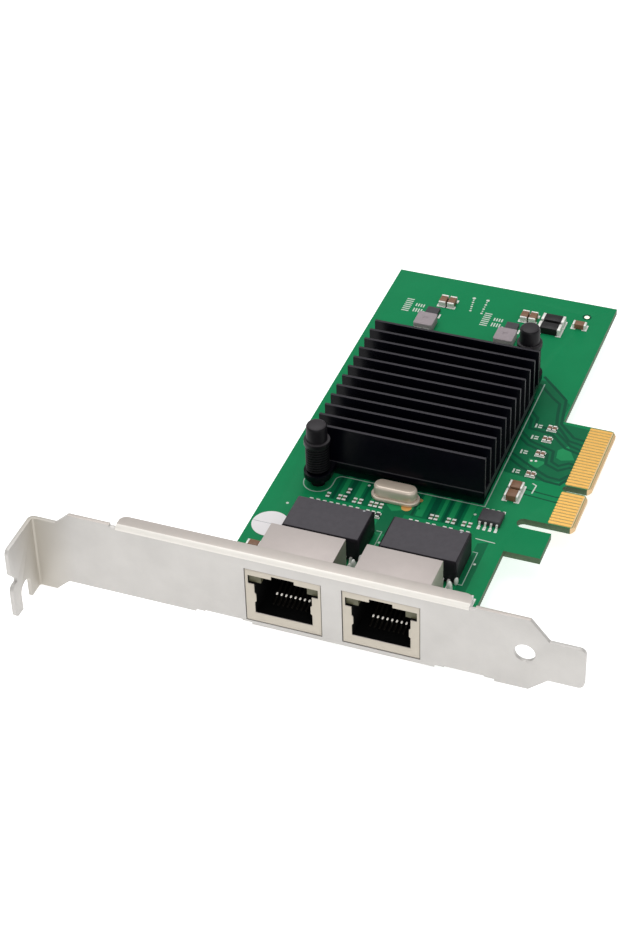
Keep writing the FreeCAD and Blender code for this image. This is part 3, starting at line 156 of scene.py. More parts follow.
# A finish's spread is how much its colour changes across the noise, and its scale is per metre.
FINISHES = {
    "solder_mask": dict(
        color=(0.0065, 0.235, 0.086), roughness=0.42, specular=0.07, spread=0.93, scale=120
    ),
    "gold_plate": dict(color=(0.86, 0.50, 0.13), roughness=0.35, metallic=0.8, spread=0.93, scale=500),
    "zinc_steel": dict(color=(0.60, 0.58, 0.555), roughness=0.5, metallic=0.35, spread=0.93, scale=140),
    "screw_steel": dict(color=(0.55, 0.55, 0.55), roughness=0.35, metallic=1.0, spread=0.9, scale=900),
    "shield_tin": dict(color=(0.56, 0.50, 0.475), roughness=0.45, metallic=0.3, spread=0.95, scale=350),
    "jack_insert": dict(color=(0.004, 0.004, 0.004), roughness=0.6, specular=0.1, spread=1.3, scale=700),
    # The contact wires are painted near black for the shade deep in the ports.
    "contact_gold": dict(color=(0.010, 0.008, 0.006), roughness=0.5, metallic=0.2, spread=0.9, scale=900),
    "light_pipe": dict(color=(0.130, 0.125, 0.075), roughness=0.35, spread=0.75, scale=900),
    "module_black": dict(color=(0.012, 0.010, 0.014), roughness=0.5, specular=0.2, spread=0.88, scale=900),
    "lead_tin": dict(color=(0.86, 0.85, 0.81), roughness=0.35, metallic=0.2, spread=0.93, scale=900),
    "chip_black": dict(color=(0.060, 0.057, 0.063), roughness=0.55, spread=0.85, scale=900),
    "pad_grey": dict(color=(0.35, 0.36, 0.38), roughness=0.8, spread=0.9, scale=500),
    "black_anodised": dict(
        color=(0.0008, 0.0008, 0.0028), roughness=0.3, specular=0.16, spread=1.3, scale=500, bump=0.03
    ),
    "pin_black": dict(color=(0.004, 0.0035, 0.005), roughness=0.42, specular=0.2, spread=1.2, scale=900),
    "spring_black": dict(color=(0.003, 0.003, 0.004), roughness=0.45, specular=0.15, spread=1.2, scale=900),
    "crystal_nickel": dict(color=(0.82, 0.71, 0.60), roughness=0.3, metallic=0.3, spread=0.95, scale=500),
    "inductor_grey": dict(color=(0.36, 0.31, 0.33), roughness=0.65, spread=0.9, scale=1500),
    "choke_black": dict(color=(0.010, 0.009, 0.010), roughness=0.4, spread=1.2, scale=900),
    "capacitor_tan": dict(color=(0.24, 0.125, 0.072), roughness=0.4, spread=0.85, scale=900),
    "resistor_black": dict(color=(0.025, 0.024, 0.028), roughness=0.4, spread=1.2, scale=900),
    "label_white": dict(color=(0.84, 0.81, 0.82), roughness=0.55, spread=0.98, scale=400),
    "ink_white": dict(color=(0.62, 0.70, 0.62), roughness=0.6, spread=0.9, scale=2500),
    "ink_line": dict(color=(0.36, 0.50, 0.42), roughness=0.6, spread=0.9, scale=2500),
    "solder": dict(color=(0.86, 0.87, 0.83), roughness=0.35, metallic=0.1, spread=0.88, scale=1500),
    "gold_pad": dict(color=(0.90, 0.50, 0.16), roughness=0.35, metallic=0.6, spread=0.93, scale=900),
    "mask_dark": dict(color=(0.0015, 0.145, 0.056), roughness=0.42, specular=0.10, spread=0.9, scale=300),
    "mask_deep": dict(color=(0.0010, 0.085, 0.040), roughness=0.42, specular=0.10, spread=0.9, scale=300),
    "mask_light": dict(color=(0.012, 0.27, 0.095), roughness=0.42, specular=0.10, spread=0.93, scale=300),
    # A painted highlight that glows, on the contact tips and in the corner hole.
    "glowing_highlight": dict(
        color=(0.92, 0.88, 0.80), roughness=0.35, metallic=0.1, glow=0.35, spread=0.95, scale=900
    ),
    # Painted lit tops of the modules and a painted highlight on the heatsink fins.
    "module_lit_top": dict(color=(0.078, 0.072, 0.082), roughness=0.6, specular=0.2, spread=0.9, scale=900),
    "fin_top": dict(color=(0.026, 0.023, 0.030), roughness=0.5, spread=0.9, scale=900),
    # Painted shade on the sides of the jack shields.
    "shield_shaded_side": dict(color=(0.33, 0.32, 0.26), roughness=0.4, metallic=0.4, spread=0.93, scale=500),
    "port_rim": dict(color=(0.56, 0.51, 0.43), roughness=0.45, metallic=0.2, spread=0.95, scale=500),
    # Painted shade on the flange top, a painted highlight along the bend and painted lit tops of the push
    # pins.
    "flange_shaded_top": dict(color=(0.57, 0.52, 0.48), roughness=0.45, metallic=0.3, spread=0.95, scale=350),
    "bend_highlight": dict(color=(0.92, 0.88, 0.82), roughness=0.35, metallic=0.1, spread=0.97, scale=350),
    "pin_lit_top": dict(color=(0.022, 0.019, 0.022), roughness=0.5, spread=1.2, scale=900),
    "gold_rim": dict(color=(0.75, 0.52, 0.28), roughness=0.4, metallic=0.3, spread=0.92, scale=900),
    "tan_mask": dict(color=(0.50, 0.36, 0.13), roughness=0.5, specular=0.2, spread=0.9, scale=900),
    "chip_tan": dict(color=(0.16, 0.13, 0.08), roughness=0.5, specular=0.2, spread=0.9, scale=900),
    "board_edge": dict(color=(0.085, 0.145, 0.075), roughness=0.7, spread=0.8, scale=900),
    # A painted glint on the edge of the heatsink's base plate.
    "base_edge_glint": dict(color=(0.060, 0.058, 0.066), roughness=0.5, spread=0.9, scale=900),
    # Painted shade on the top of the crystal can.
    "can_shaded_top": dict(color=(0.52, 0.44, 0.36), roughness=0.35, metallic=0.2, spread=0.95, scale=500),
    # A painted shadow on the board under the heatsink.
    "mask_painted_shadow": dict(color=(0.0006, 0.028, 0.016), roughness=0.5, specular=0.07, spread=0.9, scale=300),
    # Painted shade for the gaps round the ports.
    "gap_shade": dict(color=(0.03, 0.028, 0.026), roughness=0.7, spread=0.93, scale=900),
}


def finish_material(name, color, roughness, spread, scale, bump=0.15, **more):
    """One finish: plain values plus a slight procedural variation."""
    material = shader(name, color, roughness, **more)
    rough = (roughness * ROUGHNESS_LOW, roughness * ROUGHNESS_HIGH)
    mottle(material, color, tone(color, spread), scale, rough, bump)
    return material


MATERIALS = {name: finish_material(name, **values) for name, values in FINISHES.items()}
for node, item in NODES.items():
    item.data.materials.clear()
    item.data.materials.append(MATERIALS[SLOTS[node]])


# ---------------------------------------------------------------- shapes

# Welding distances in millimetres and angles in degrees.
SOLID_WELD = 0.001
FACE_WELD = 0.0005
FLAT_ANGLE = 1.0
BEVEL_ANGLE = 40
SMOOTH_ANGLE = 40
SOFT_SMOOTH_ANGLE = 35


def corners(node):
    """The low and high corner of a CAD node, in millimetres."""
    low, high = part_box(node)
    return Vector(low) / MM, Vector(high) / MM


def islands(node):
    """The low and high corner of every separate solid in a CAD node, in millimetres."""
    shape = bmesh.new()
    shape.from_mesh(NODES[node].data)
    bmesh.ops.remove_doubles(shape, verts=shape.verts, dist=SOLID_WELD * MM)
    turn = NODES[node].matrix_world
    left = set(shape.verts)
    found = []
    while left:
        stack = [left.pop()]
        points = []
        while stack:
            vertex = stack.pop()
            points.append(turn @ vertex.co / MM)
            for edge in vertex.link_edges:
                other = edge.other_vert(vertex)
                if other in left:
                    left.remove(other)
                    stack.append(other)
        low = Vector([min(p[axis] for p in points) for axis in range(3)])
        high = Vector([max(p[axis] for p in points) for axis in range(3)])
        found.append((low, high))
    shape.free()
    return sorted(found, key=lambda pair: (round(pair[0].x, 2), round(pair[0].y, 2)))


def settle(item, finish):
    """Gives a new piece its material and its body."""
    item.data.materials.clear()
    item.data.materials.append(MATERIALS[finish])
    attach(item, "root")
    return item


def smooth_below(data, angle):
    """Smooth shading across every edge that turns by less than an angle in degrees."""
    data.polygons.foreach_set("use_smooth", [True] * len(data.polygons))
    data.set_sharp_from_angle(angle=math.radians(angle))


def new_item(name, shape):
    """An object made from a bmesh."""
    data = bpy.data.meshes.new(name)
    shape.to_mesh(data)
    shape.free()
    item = bpy.data.objects.new(name, data)
    bpy.context.collection.objects.link(item)
    return item


def mesh_piece(name, shape, finish, smooth=False):
    """A new piece from a bmesh in millimetres."""
    for vertex in shape.verts:
        vertex.co *= MM
    item = new_item(name, shape)
    if smooth:
        smooth_below(item.data, SMOOTH_ANGLE)
    return settle(item, finish)


def stretched(centre, size):
    """The place and size of a unit shape, in millimetres."""
    return Matrix.Translation(centre) @ Matrix.Diagonal((*size, 1.0))


def add_box(shape, centre, size):
    """A box in a bmesh."""
    bmesh.ops.create_cube(shape, size=1.0, matrix=stretched(centre, size))


def add_drop(shape, centre, size, sides, rings):
    """An egg-shaped drop in a bmesh."""
    bmesh.ops.create_uvsphere(
        shape, u_segments=sides, v_segments=rings, radius=0.5, matrix=stretched(centre, size)
    )


def rounded(node, width, segments=2):
    """Stands in for a CAD node with its sharp edges softened."""
    source = NODES[node]
    shape = bmesh.new()
    shape.from_mesh(source.data)
    shape.transform(source.matrix_world)
    bmesh.ops.remove_doubles(shape, verts=shape.verts, dist=FACE_WELD * MM)
    bmesh.ops.dissolve_limit(
        shape, angle_limit=math.radians(FLAT_ANGLE), verts=shape.verts, edges=shape.edges
    )
    item = new_item(node + "_soft", shape)
    bevel = item.modifiers.new("bevel", "BEVEL")
    bevel.width = width * MM
    bevel.segments = segments
    bevel.limit_method = "ANGLE"
    bevel.angle_limit = math.radians(BEVEL_ANGLE)
    bpy.context.view_layer.update()
    baked = bpy.data.meshes.new_from_object(item.evaluated_get(bpy.context.evaluated_depsgraph_get()))
    item.modifiers.clear()
    item.data = baked
    smooth_below(baked, SOFT_SMOOTH_ANGLE)
    settle(item, SLOTS[node])
    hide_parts(node)
    return item


def paint(item, finish, test):
    """Gives another finish to the faces whose normal and centre, in millimetres, pass a test."""
    item.data.materials.append(MATERIALS[finish])
    index = len(item.data.materials) - 1
    for face in item.data.polygons:
        if test(face.normal, face.center / MM):
            face.material_index = index


MITRE_LIMIT = 0.3


class Art:
    """Thin flat printed shapes gathered into one piece."""

    def __init__(self, height):
        self.shape = bmesh.new()
        self.height = height

    def face(self, points):
        """A flat shape that faces up, whichever way round its points run."""
        verts = [self.shape.verts.new((x, y, self.height)) for x, y in points]
        face = self.shape.faces.new(verts)
        face.normal_update()
        if face.normal.z < 0:
            face.normal_flip()

    def box(self, left, near, right, far):
        """A rectangle."""
        self.face([(left, near), (right, near), (right, far), (left, far)])

    def disc(self, x, y, radius, sides=20):
        """A round spot."""
        turns = [2 * math.pi * step / sides for step in range(sides)]
        self.face([(x + radius * math.cos(a), y + radius * math.sin(a)) for a in turns])

    def line(self, points, width):
        """A strip of even width along a bent line."""
        count = len(points)
        pairs = []
        for index, (x, y) in enumerate(points):
            before = Vector(points[max(index - 1, 0)])
            after = Vector(points[min(index + 1, count - 1)])
            here = Vector((x, y))
            first = (here - before).normalized() if index else (after - here).normalized()
            last = (after - here).normalized() if index < count - 1 else first
            bend = (first + last).normalized()
            across = Vector((-bend.y, bend.x))
            reach = width / 2 / max(MITRE_LIMIT, bend.dot(first))
            pairs.append((here + across * reach, here - across * reach))
        for (a, b), (c, d) in zip(pairs, pairs[1:]):
            self.face([a, b, d, c])

    def finish(self, name, finish, slot):
        """The gathered shapes as a piece."""
        return mesh_piece(name, self.shape, finish)


def arc(x, y, radius, start, end, steps=12):
    """Points along an arc; the angles are in degrees."""
    turns = [math.radians(start + (end - start) * step / steps) for step in range(steps + 1)]
    return [(x + radius * math.cos(a), y + radius * math.sin(a)) for a in turns]


BOARD_LOW, BOARD_HIGH = corners("board")
TOP = BOARD_HIGH.z
BRACKET_LOW, BRACKET_HIGH = corners("bracket")
HEAT_LOW, HEAT_HIGH = corners("heatsink")
GOLD_LOW, GOLD_HIGH = corners("edge_contacts")

# Painted shade, warmed by reflections, in a soft band round the fold of the bracket's ear.
FOLD_X = BRACKET_LOW.x + 1.0
FOLD_REACH = 9.0
FOLD_SHADE_COLOR = (0.51, 0.475, 0.415)
shade_band(MATERIALS["zinc_steel"], FOLD_X, 0.0, FOLD_REACH, FOLD_SHADE_COLOR)


# ---------------------------------------------------------------- softened CAD parts

# How wide the bevel on each part's sharp edges is, in millimetres.
SOFT = {
    "board": 0.05,
    "bracket": 0.16,
    "jack_shield_1": 0.1,
    "jack_shield_2": 0.1,
    "magnetics_1": 0.3,
    "magnetics_2": 0.3,
    "heatsink": 0.08,
    "push_pin_1": 0.2,
    "push_pin_2": 0.2,
    "crystal_base": 0.15,
    "crystal_can": 0.25,
    "power_inductor_1": 0.15,
    "power_inductor_2": 0.15,
    "input_chokes": 0.15,
    "input_choke_caps": 0.12,
    "ceramic_capacitors": 0.08,
    "ceramic_capacitor_caps": 0.12,
    "bulk_capacitors": 0.08,
    "bulk_capacitor_caps": 0.12,
    "memory_chip": 0.08,
    "supply_chip": 0.06,
}
SOFT_PARTS = {node: rounded(node, width) for node, width in SOFT.items()}


def paint_parts():
    """Painted light and shade on the softened parts: lighter tops, darker sides and bright bends; also the
    board's edge colours.
    """
    rim = GOLD_HIGH.x - 0.5
    paint(SOFT_PARTS["board"], "board_edge", lambda n, c: abs(n.z) < 0.3)
    paint(SOFT_PARTS["board"], "gold_rim", lambda n, c: c.x > rim and abs(n.z) < 0.995)
    # Painted highlight on the fin tops and on the fins' right ends.
    fin_edge, fin_foot = HEAT_HIGH.z - 0.3, TOP + 4
    paint(SOFT_PARTS["heatsink"], "fin_top", lambda n, c: n.z > 0.3 and c.z > fin_edge)
    paint(SOFT_PARTS["heatsink"], "fin_top", lambda n, c: n.x > 0.7 and c.z > fin_foot)
    for name in PAIR:
        # Painted lit tops on the modules and push pins, and painted shade on the shield sides.
        paint(SOFT_PARTS["magnetics_" + name], "module_lit_top", lambda n, c: n.z > 0.9)
        shield = SOFT_PARTS["jack_shield_" + name]
        paint(shield, "shield_shaded_side", lambda n, c: abs(n.x) > 0.7)
        paint(shield, "port_rim", lambda n, c: n.y < -0.7 and c.y < 1)
        paint(SOFT_PARTS["push_pin_" + name], "pin_lit_top", lambda n, c: n.z > 0.6)
    # Painted shade on the top of the crystal can.
    paint(SOFT_PARTS["crystal_can"], "can_shaded_top", lambda n, c: n.z > 0.95)
    # Painted shade on the flange top and a painted highlight along the bracket's bend.
    flange, bend = BRACKET_HIGH.z - 0.3, BRACKET_HIGH.z - 1.5
    paint(SOFT_PARTS["bracket"], "flange_shaded_top", lambda n, c: n.z > 0.9 and c.z > flange)
    paint(SOFT_PARTS["bracket"], "bend_highlight", lambda n, c: n.z > 0.25 and n.y < -0.3 and c.z > bend)


paint_parts()


# ---------------------------------------------------------------- board surface

PIN_LOW, PIN_HIGH = corners("push_pin_1")
PIN_X, PIN_Y = (PIN_LOW.x + PIN_HIGH.x) / 2, (PIN_LOW.y + PIN_HIGH.y) / 2
LUG_RADIUS = PIN_Y - HEAT_LOW.y
MODULES = [corners("magnetics_" + name) for name in PAIR]
HOLE_X, HOLE_Y = BOARD_HIGH.x - 18.1, BOARD_HIGH.y - 5.4
# Places of the very small chip parts along the row behind each module.
SMALL_CHIPS_LEFT = [-15.4, -12.8, -11.7, -9.3, -8.0, -5.6, -4.5, -3.3]
SMALL_CHIPS_RIGHT = [8.1, 9.2, 11.9, 13.1, 15.4, 16.7]

# How far each flat layer stands above the board's top, in millimetres.
LAYERS = {
    "copper_dark": 0.004,
    "copper_light": 0.008,
    "tongue_tan": 0.010,
    "copper_deep": 0.012,
    "tongue_rim": 0.014,
    "print_lines": 0.016,
    "painted_shadow_below_heatsink": 0.018,
    "print_marks": 0.020,
    "corner_ring": 0.020,
    "solder_pads": 0.030,
    "gold_pads": 0.030,
    "small_chip_ends": 0.050,
    "small_chips": 0.060,
}


def board_art(name):
    """An empty layer of flat shapes on the board."""
    return Art(TOP + LAYERS[name])


def make_traces():
    """Darker copper areas under the solder mask, with lighter gaps between them, and a painted shadow on
    the board under the heatsink.
    """
    right = HEAT_HIGH.x
    edge = GOLD_LOW.x
    dark = board_art("copper_dark")
    for outline in (
        [
            (right - 2, 94), (right + 1, 94), (25.5, 87), (25.4, 79.8), (32, 79.5), (32.4, 60),
            (26, 58.6), (right, 59.5),
        ],
        [(-15.5, 38.5), (16.5, 38.5), (16.5, 49), (-15.5, 49)],
        [(-2.4, 31), (2.4, 31), (2.4, 38.5), (-2.4, 38.5)],
        [(20.0, 18.0), (22.3, 19), (22.3, 35.5), (20.0, 34.5)],
    ):
        dark.face(outline)
    dark.finish("copper_dark", "mask_dark", "solder_mask")

    # A painted shadow on the board under the heatsink.
    shade = board_art("painted_shadow_below_heatsink")
    shade.box(HEAT_LOW.x + 0.4, PIN_Y + 4.1, right - 0.4, HEAT_HIGH.y - 8)
    shade.finish("painted_shadow_below_heatsink", "mask_painted_shadow", "solder_mask")

    near, far = 39.0, 48
    trace_width, thin_width = 0.7, 0.35
    light = board_art("copper_light")
    for outline in (
        [(27.4, 70.3), (29.3, 72.4), (31.8, 68), (29, 67), (27.8, 67.6)],
        [(22.2, 65.6), (26.2, 65.4), (25, 63), (22.6, 62.8)],
        [(-2.4, 40.6), (-0.6, 38.8), (5.0, 41.4), (3.0, 44.5)],
    ):
        light.face(outline)
    for left, width in (
        (-13.2, 1.0), (-9.8, 1.3), (-6.0, 0.7), (4.6, 1.6), (9.4, 0.8), (11.6, 1.2), (14.8, 1.6),
    ):
        light.box(left, near, left + width, far)
    light.finish("copper_light", "mask_light", "solder_mask")

    deep = board_art("copper_deep")
    for path in (
        [(17, 95.5), (20.4, 92.2), (24.2, 88.4), (24.9, 84.0), (25.6, 79.6), (29.6, 75.6), (edge, 75.2)],
        [(17, 92.4), (21.2, 88.2), (23.2, 86.6), (23.9, 82.4), (24.6, 79.2), (28.8, 74.2), (edge, 73.6)],
        [(17, 83.0), (20.0, 80.0), (20.2, 77.4), (25.0, 76.8), (29.6, 72.6), (edge, 71.8)],
        [(17, 81.0), (18.8, 79.2), (19.2, 76.0), (24.6, 75.4), (28.8, 71.4), (edge, 70.4)],
        [
            (17, 75.2), (20.9, 71.6), (24.8, 70.2), (26.6, 69.6), (27.2, 66.0), (29.0, 65.0),
            (31.0, 66.6), (edge, 66.4),
        ],
        [
            (17, 73.2), (20.4, 70.2), (24.4, 68.8), (25.6, 68.2), (26.2, 64.8), (29.4, 63.4),
            (31.6, 65.2), (edge, 65.0),
        ],
        [(17, 67.0), (21.6, 64.0), (24.4, 62.4), (27.8, 60.6), (30.6, 60.4), (edge, 62.6)],
        [(17, 65.0), (21.2, 62.2), (24.0, 60.8), (27.6, 59.0), (31.0, 58.8), (edge, 61.2)],
    ):
        deep.line(path, trace_width)
    for left, width in (
        (-14.6, 0.7), (-11.6, 1.0), (-8.0, 0.6), (3.6, 0.6), (7.2, 1.4), (10.6, 0.6), (13.2, 1.0),
    ):
        deep.box(left, near - 0.2, left + width, far)
    for offset in (0.0, 1.7):
        deep.line([(23.4, 53.4 + offset), (31.0, 52.8 + offset), (edge, 52.8 + offset)], thin_width)
    deep.finish("copper_deep", "mask_deep", "solder_mask")


def make_outline():
    """The printed lines round the heatsink and its near lug, and beside the modules."""
    line = board_art("print_lines")
    clear, turn = 0.15, 1.4
    outline_width, corner_width = 0.26, 0.2
    radius = LUG_RADIUS + clear
    near = PIN_Y + 3.45
    right = HEAT_HIGH.x + clear
    path = [(PIN_X - radius, PIN_Y + 1.0)]
    path += arc(PIN_X, PIN_Y, radius, 180, 360)
    path += arc(PIN_X + radius + turn, near - turn, turn, 180, 90, 6)
    path += [(right, near + 0.1), (right, HEAT_HIGH.y - 2)]
    line.line(path, outline_width)
    for corner in (
        [(-1.5, 31.6), (-0.3, 31.6), (-0.3, 20.6), (-2.6, 20.4)],
        [(19.9, 31.6), (21.0, 31.6), (21.0, 20.8), (17.8, 20.7)],
    ):
        line.line(corner, corner_width)
    line.finish("print_lines", "ink_line", "solder_mask")


def make_print():
    """White printed marks: hatches, bars, dots and dotted links."""
    ink = board_art("print_marks")
    for x, y in ((16.75, 43.4), (0.3, 28.1), (21.5, 27.9), (-22.8, 34.2), (-8.0, 45.4)):
        ink.disc(x, y, 0.32)

    hatch_lines, hatch_near, hatch_pitch, hatch_length, hatch_width = 7, 110.4, 0.8, 1.8, 0.36
    bars, bar_gap, bar_pitch, bar_width = 4, 2.7, 0.62, 0.32
    for left in (-22.9, -3.4):
        for step in range(hatch_lines):
            y = hatch_near + step * hatch_pitch
            ink.box(left, y, left + hatch_length, y + hatch_width)
        for step in range(bars):
            x = left + bar_gap + step * bar_pitch
            for near, far in ((110.7, 112.2), (113.0, 114.2)):
                ink.box(x, near, x + bar_width, far)

    dots, first_dot, wide_dot, narrow_dot = 6, 0.42, 0.3, 0.22
    for start, end in (((-7.7, 120.4), (-7.0, 114.8)), ((-4.3, 120.5), (-4.2, 114.5))):
        ink.disc(*start, first_dot)
        for step in range(dots):
            x, y = Vector(start).lerp(Vector(end), (step + 1) / (dots + 0.5))
            ink.disc(x, y, wide_dot if step % 2 else narrow_dot, 10)

    for x, y in ((21.1, 77.3), (21.4, 73.1), (20.6, 67.4), (20.9, 60.4)):
        ink.box(x - 0.9, y - 0.7, x - 0.5, y + 0.7)
        ink.box(x - 0.2, y - 0.6, x + 0.7, y - 0.15)
        ink.box(x - 0.2, y + 0.15, x + 0.7, y + 0.6)
    ink.line([(25.4, 57.4), (26.4, 56.9), (26.2, 54.0)], 0.3)
    ink.line([(19.2, 35.9), (23.6, 35.7)], 0.25)
    ink.finish("print_marks", "ink_white", "solder_mask")


def make_solder():
    """Bright solder round the ends of every chip part and lead, and bare pads."""
    solder = board_art("solder_pads")
    for node, margin in (
        ("chip_resistor_caps", 0.16),
        ("small_capacitor_caps", 0.18),
        ("ceramic_capacitor_caps", 0.35),
        ("bulk_capacitor_caps", 0.35),
        ("input_choke_caps", 0.3),
    ):
        for low, high in islands(node):
            solder.box(low.x - margin, low.y - margin, high.x + margin, high.y + margin)
    toe, heel, lead_margin = 0.6, 0.5, 0.1
    for node in ("memory_chip_leads", "supply_chip_leads", "magnetics_leads_1", "magnetics_leads_2"):
        middle = sum((corner.y for corner in corners(node)), 0.0) / 2
        for low, high in islands(node):
            side = 1 if low.y > middle else -1
            tip = high.y if side > 0 else low.y
            ends = sorted((tip + side * toe, tip - side * heel))
            solder.box(low.x - lead_margin, ends[0], high.x + lead_margin, ends[1])
    pads, pad_pitch, pad_width = 5, 1.05, 0.45
    for name in PAIR:
        low, high = corners("power_inductor_" + name)
        solder.box(low.x + 0.5, low.y - 1.5, high.x - 0.6, low.y - 0.3)
        solder.box(low.x + 0.5, high.y + 0.2, high.x - 0.5, high.y + 0.9)
        for step in range(pads):
            x = low.x - 0.2 + step * pad_pitch
            solder.box(x, high.y + 1.3, x + pad_width, high.y + 3.0)
    for x, y in ((-25.9, 95.9), (-25.9, 91.7)):
        solder.box(x - 0.45, y - 0.9, x + 0.45, y + 0.9)
    for x, y in ((22.9, 64.9), (23.9, 65.1)):
        solder.disc(x, y, 0.3)
    solder.finish("solder_pads", "solder", "lead_tin")


def make_small_chips():
    """The rows of very small chip parts behind the modules, with their pads."""
    ends = board_art("small_chip_ends")
    bodies = board_art("small_chips")
    pad_half, pad_inner, pad_outer = 0.42, 0.25, 0.85
    body_half_width, body_half_length = 0.26, 0.3
    row = MODULES[0][1].y + 8.6
    places = [(x, row) for x in SMALL_CHIPS_LEFT + SMALL_CHIPS_RIGHT] + [(-11.5, row + 2.6)]
    for x, y in places:
        ends.box(x - pad_half, y - pad_outer, x + pad_half, y - pad_inner)
        ends.box(x - pad_half, y + pad_inner, x + pad_half, y + pad_outer)
        bodies.box(
            x - body_half_width, y - body_half_length, x + body_half_width, y + body_half_length
        )
    ends.finish("small_chip_ends", "solder", "lead_tin")
    bodies.finish("small_chips", "chip_tan", "resistor_black")


def make_gold_pads():
    """Bare gold by the crystal and the ring round the corner hole."""
    gold = board_art("gold_pads")
    low, high = corners("crystal_base")
    gold.disc(high.x - 2.2, low.y - 0.1, 1.15)
    gold.disc(high.x - 0.1, (low.y + high.y) / 2 + 0.9, 0.6)
    gold.finish("gold_pads", "gold_pad", "gold_plate")
    ring = board_art("corner_ring")
    ring.line(arc(HOLE_X, HOLE_Y, 0.9, 0, 360, 24), 0.4)
    ring.finish("corner_ring", "mask_deep", "solder_mask")


def make_tongue():
    """Tan fibreglass between the gold contacts and a beige rim outside them."""
    tan = board_art("tongue_tan")
    rim = board_art("tongue_rim")
    contacts = [pair for pair in islands("edge_contacts") if pair[1].z > TOP]
    contacts.sort(key=lambda pair: pair[0].y)
    pitch = contacts[1][0].y - contacts[0][0].y
    groups = [[contacts[0]]]
    for before, pair in zip(contacts, contacts[1:]):
        if pair[0].y - before[0].y > 1.5 * pitch:
            groups.append([])
        groups[-1].append(pair)
    margin = 0.26
    inner, outer = GOLD_HIGH.x, GOLD_HIGH.x + 0.3
    for group in groups:
        near, far = group[0][0].y, group[-1][1].y
        tan.box(GOLD_LOW.x + 0.15, near - margin, inner, far + margin)
        rim.face([(inner, near - margin), (outer, near), (outer, far), (inner, far + margin)])
    tan.finish("tongue_tan", "tan_mask", "solder_mask")
    rim.finish("tongue_rim", "gold_rim", "gold_plate")


def make_label_line():
    """A thin line across the round label."""
    low, high = corners("inspection_label")
    line = Art(high.z + 0.006)
    middle = (low.y + high.y) / 2
    line.box(low.x + 0.1, middle - 0.05, high.x - 0.1, middle + 0.06)
    line.finish("label_line", "pad_grey", "label_white")


make_traces()
make_outline()
make_print()
make_solder()
make_small_chips()
make_gold_pads()
make_tongue()
make_label_line()


# ---------------------------------------------------------------- jack and module details


def make_contact_tip_highlights():
    """Painted highlights, glowing, on the front bends of the contact wires in each port."""
    wires, pitch = 8, 1.02
    for name in PAIR:
        low, high = corners("jack_contacts_" + name)
        centre = (low.x + high.x) / 2
        shape = bmesh.new()
        for index in range(wires):
            x = centre + (index - (wires - 1) / 2) * pitch
            add_drop(shape, (x, 5.6, 0.55), (0.44, 0.8, 0.36), 10, 6)
        mesh_piece("contact_tip_highlights_" + name, shape, "glowing_highlight", smooth=True)


def make_contacts():
    """Wires deep in the ports, painted near black as their shade, and tinned pins below the board."""
    for name in PAIR:
        wires = rounded("jack_contacts_" + name, 0.02, segments=1)
        paint(wires, "lead_tin", lambda n, c: c.z < -1.0)


def make_port_gap_shade():
    """Dark strips of painted shade in the gap between each shield and the edge of its cut-out in the
    bracket.
    """
    gap, depth, set_back = 0.13, 0.5, 0.5
    for name in PAIR:
        low, high = corners("jack_shield_" + name)
        shape = bmesh.new()
        for left, bottom, right, top in (
            (low.x - gap, low.z - gap, low.x, high.z + gap),
            (high.x, low.z - gap, high.x + gap, high.z + gap),
            (low.x - gap, low.z - gap, high.x + gap, low.z),
            (low.x - gap, high.z, high.x + gap, high.z + gap),
        ):
            centre = ((left + right) / 2, set_back, (bottom + top) / 2)
            add_box(shape, centre, (right - left, depth, top - bottom))
        mesh_piece("port_gap_shade_" + name, shape, "gap_shade")


def make_springs():
    """Closely wound black springs on the push pins."""
    turns, steps, sides, wire_radius = 10, 24, 8, 0.3
    for name in PAIR:
        low, high = corners("push_pin_spring_" + name)
        centre_x, centre_y = (low.x + high.x) / 2, (low.y + high.y) / 2
        radius = (high.y - low.y) / 2 - wire_radius
        rise = high.z - low.z - 2 * wire_radius
        shape = bmesh.new()
        rings = []
        for step in range(turns * steps + 1):
            turn = 2 * math.pi * step / steps
            z = low.z + wire_radius + rise * step / (turns * steps)
            ring = []
            for side in range(sides):
                angle = 2 * math.pi * side / sides
                reach = radius + wire_radius * math.cos(angle)
                point = (
                    centre_x + reach * math.cos(turn),
                    centre_y + reach * math.sin(turn),
                    z + wire_radius * math.sin(angle),
                )
                ring.append(shape.verts.new(point))
            rings.append(ring)
        for first, second in zip(rings, rings[1:]):
            for side in range(sides):
                after = (side + 1) % sides
                shape.faces.new((first[side], second[side], second[after], first[after]))
        shape.faces.new(rings[0])
        shape.faces.new(rings[-1][::-1])
        bmesh.ops.recalc_face_normals(shape, faces=shape.faces)
        spring = mesh_piece("spring_coil_" + name, shape, "spring_black", smooth=True)
        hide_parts("push_pin_spring_" + name)


def make_tab_solder():
    """Solder on the shield tabs beside each jack."""
    for name in PAIR:
        low, high = corners("jack_shield_" + name)
        shape = bmesh.new()
        for x, y, width, depth, height in (
            (high.x + 0.6, high.y + 2.3, 1.2, 1.8, 4.2),
            (high.x + 1.0, high.y + 5.6, 0.9, 1.5, 2.4),
            (low.x - 0.5, high.y + 1.2, 0.8, 1.3, 1.6),
        ):
            add_drop(shape, (x, y, TOP + height * 0.3), (width, depth, height), 12, 8)
        mesh_piece("tab_solder_" + name, shape, "solder", smooth=True)


def make_base_glint():
    """A painted glint along the edge of the heatsink's base plate below its front fin."""
    base_thickness, face_from_pin = 1.6, 3.6
    base_top = corners("thermal_pad")[1].z + base_thickness
    centre = ((HEAT_LOW.x + HEAT_HIGH.x) / 2, PIN_Y + face_from_pin, base_top)
    shape = bmesh.new()
    add_box(shape, centre, (HEAT_HIGH.x - HEAT_LOW.x - 0.5, 0.08, 0.24))
    mesh_piece("heatsink_base_glint", shape, "base_edge_glint")


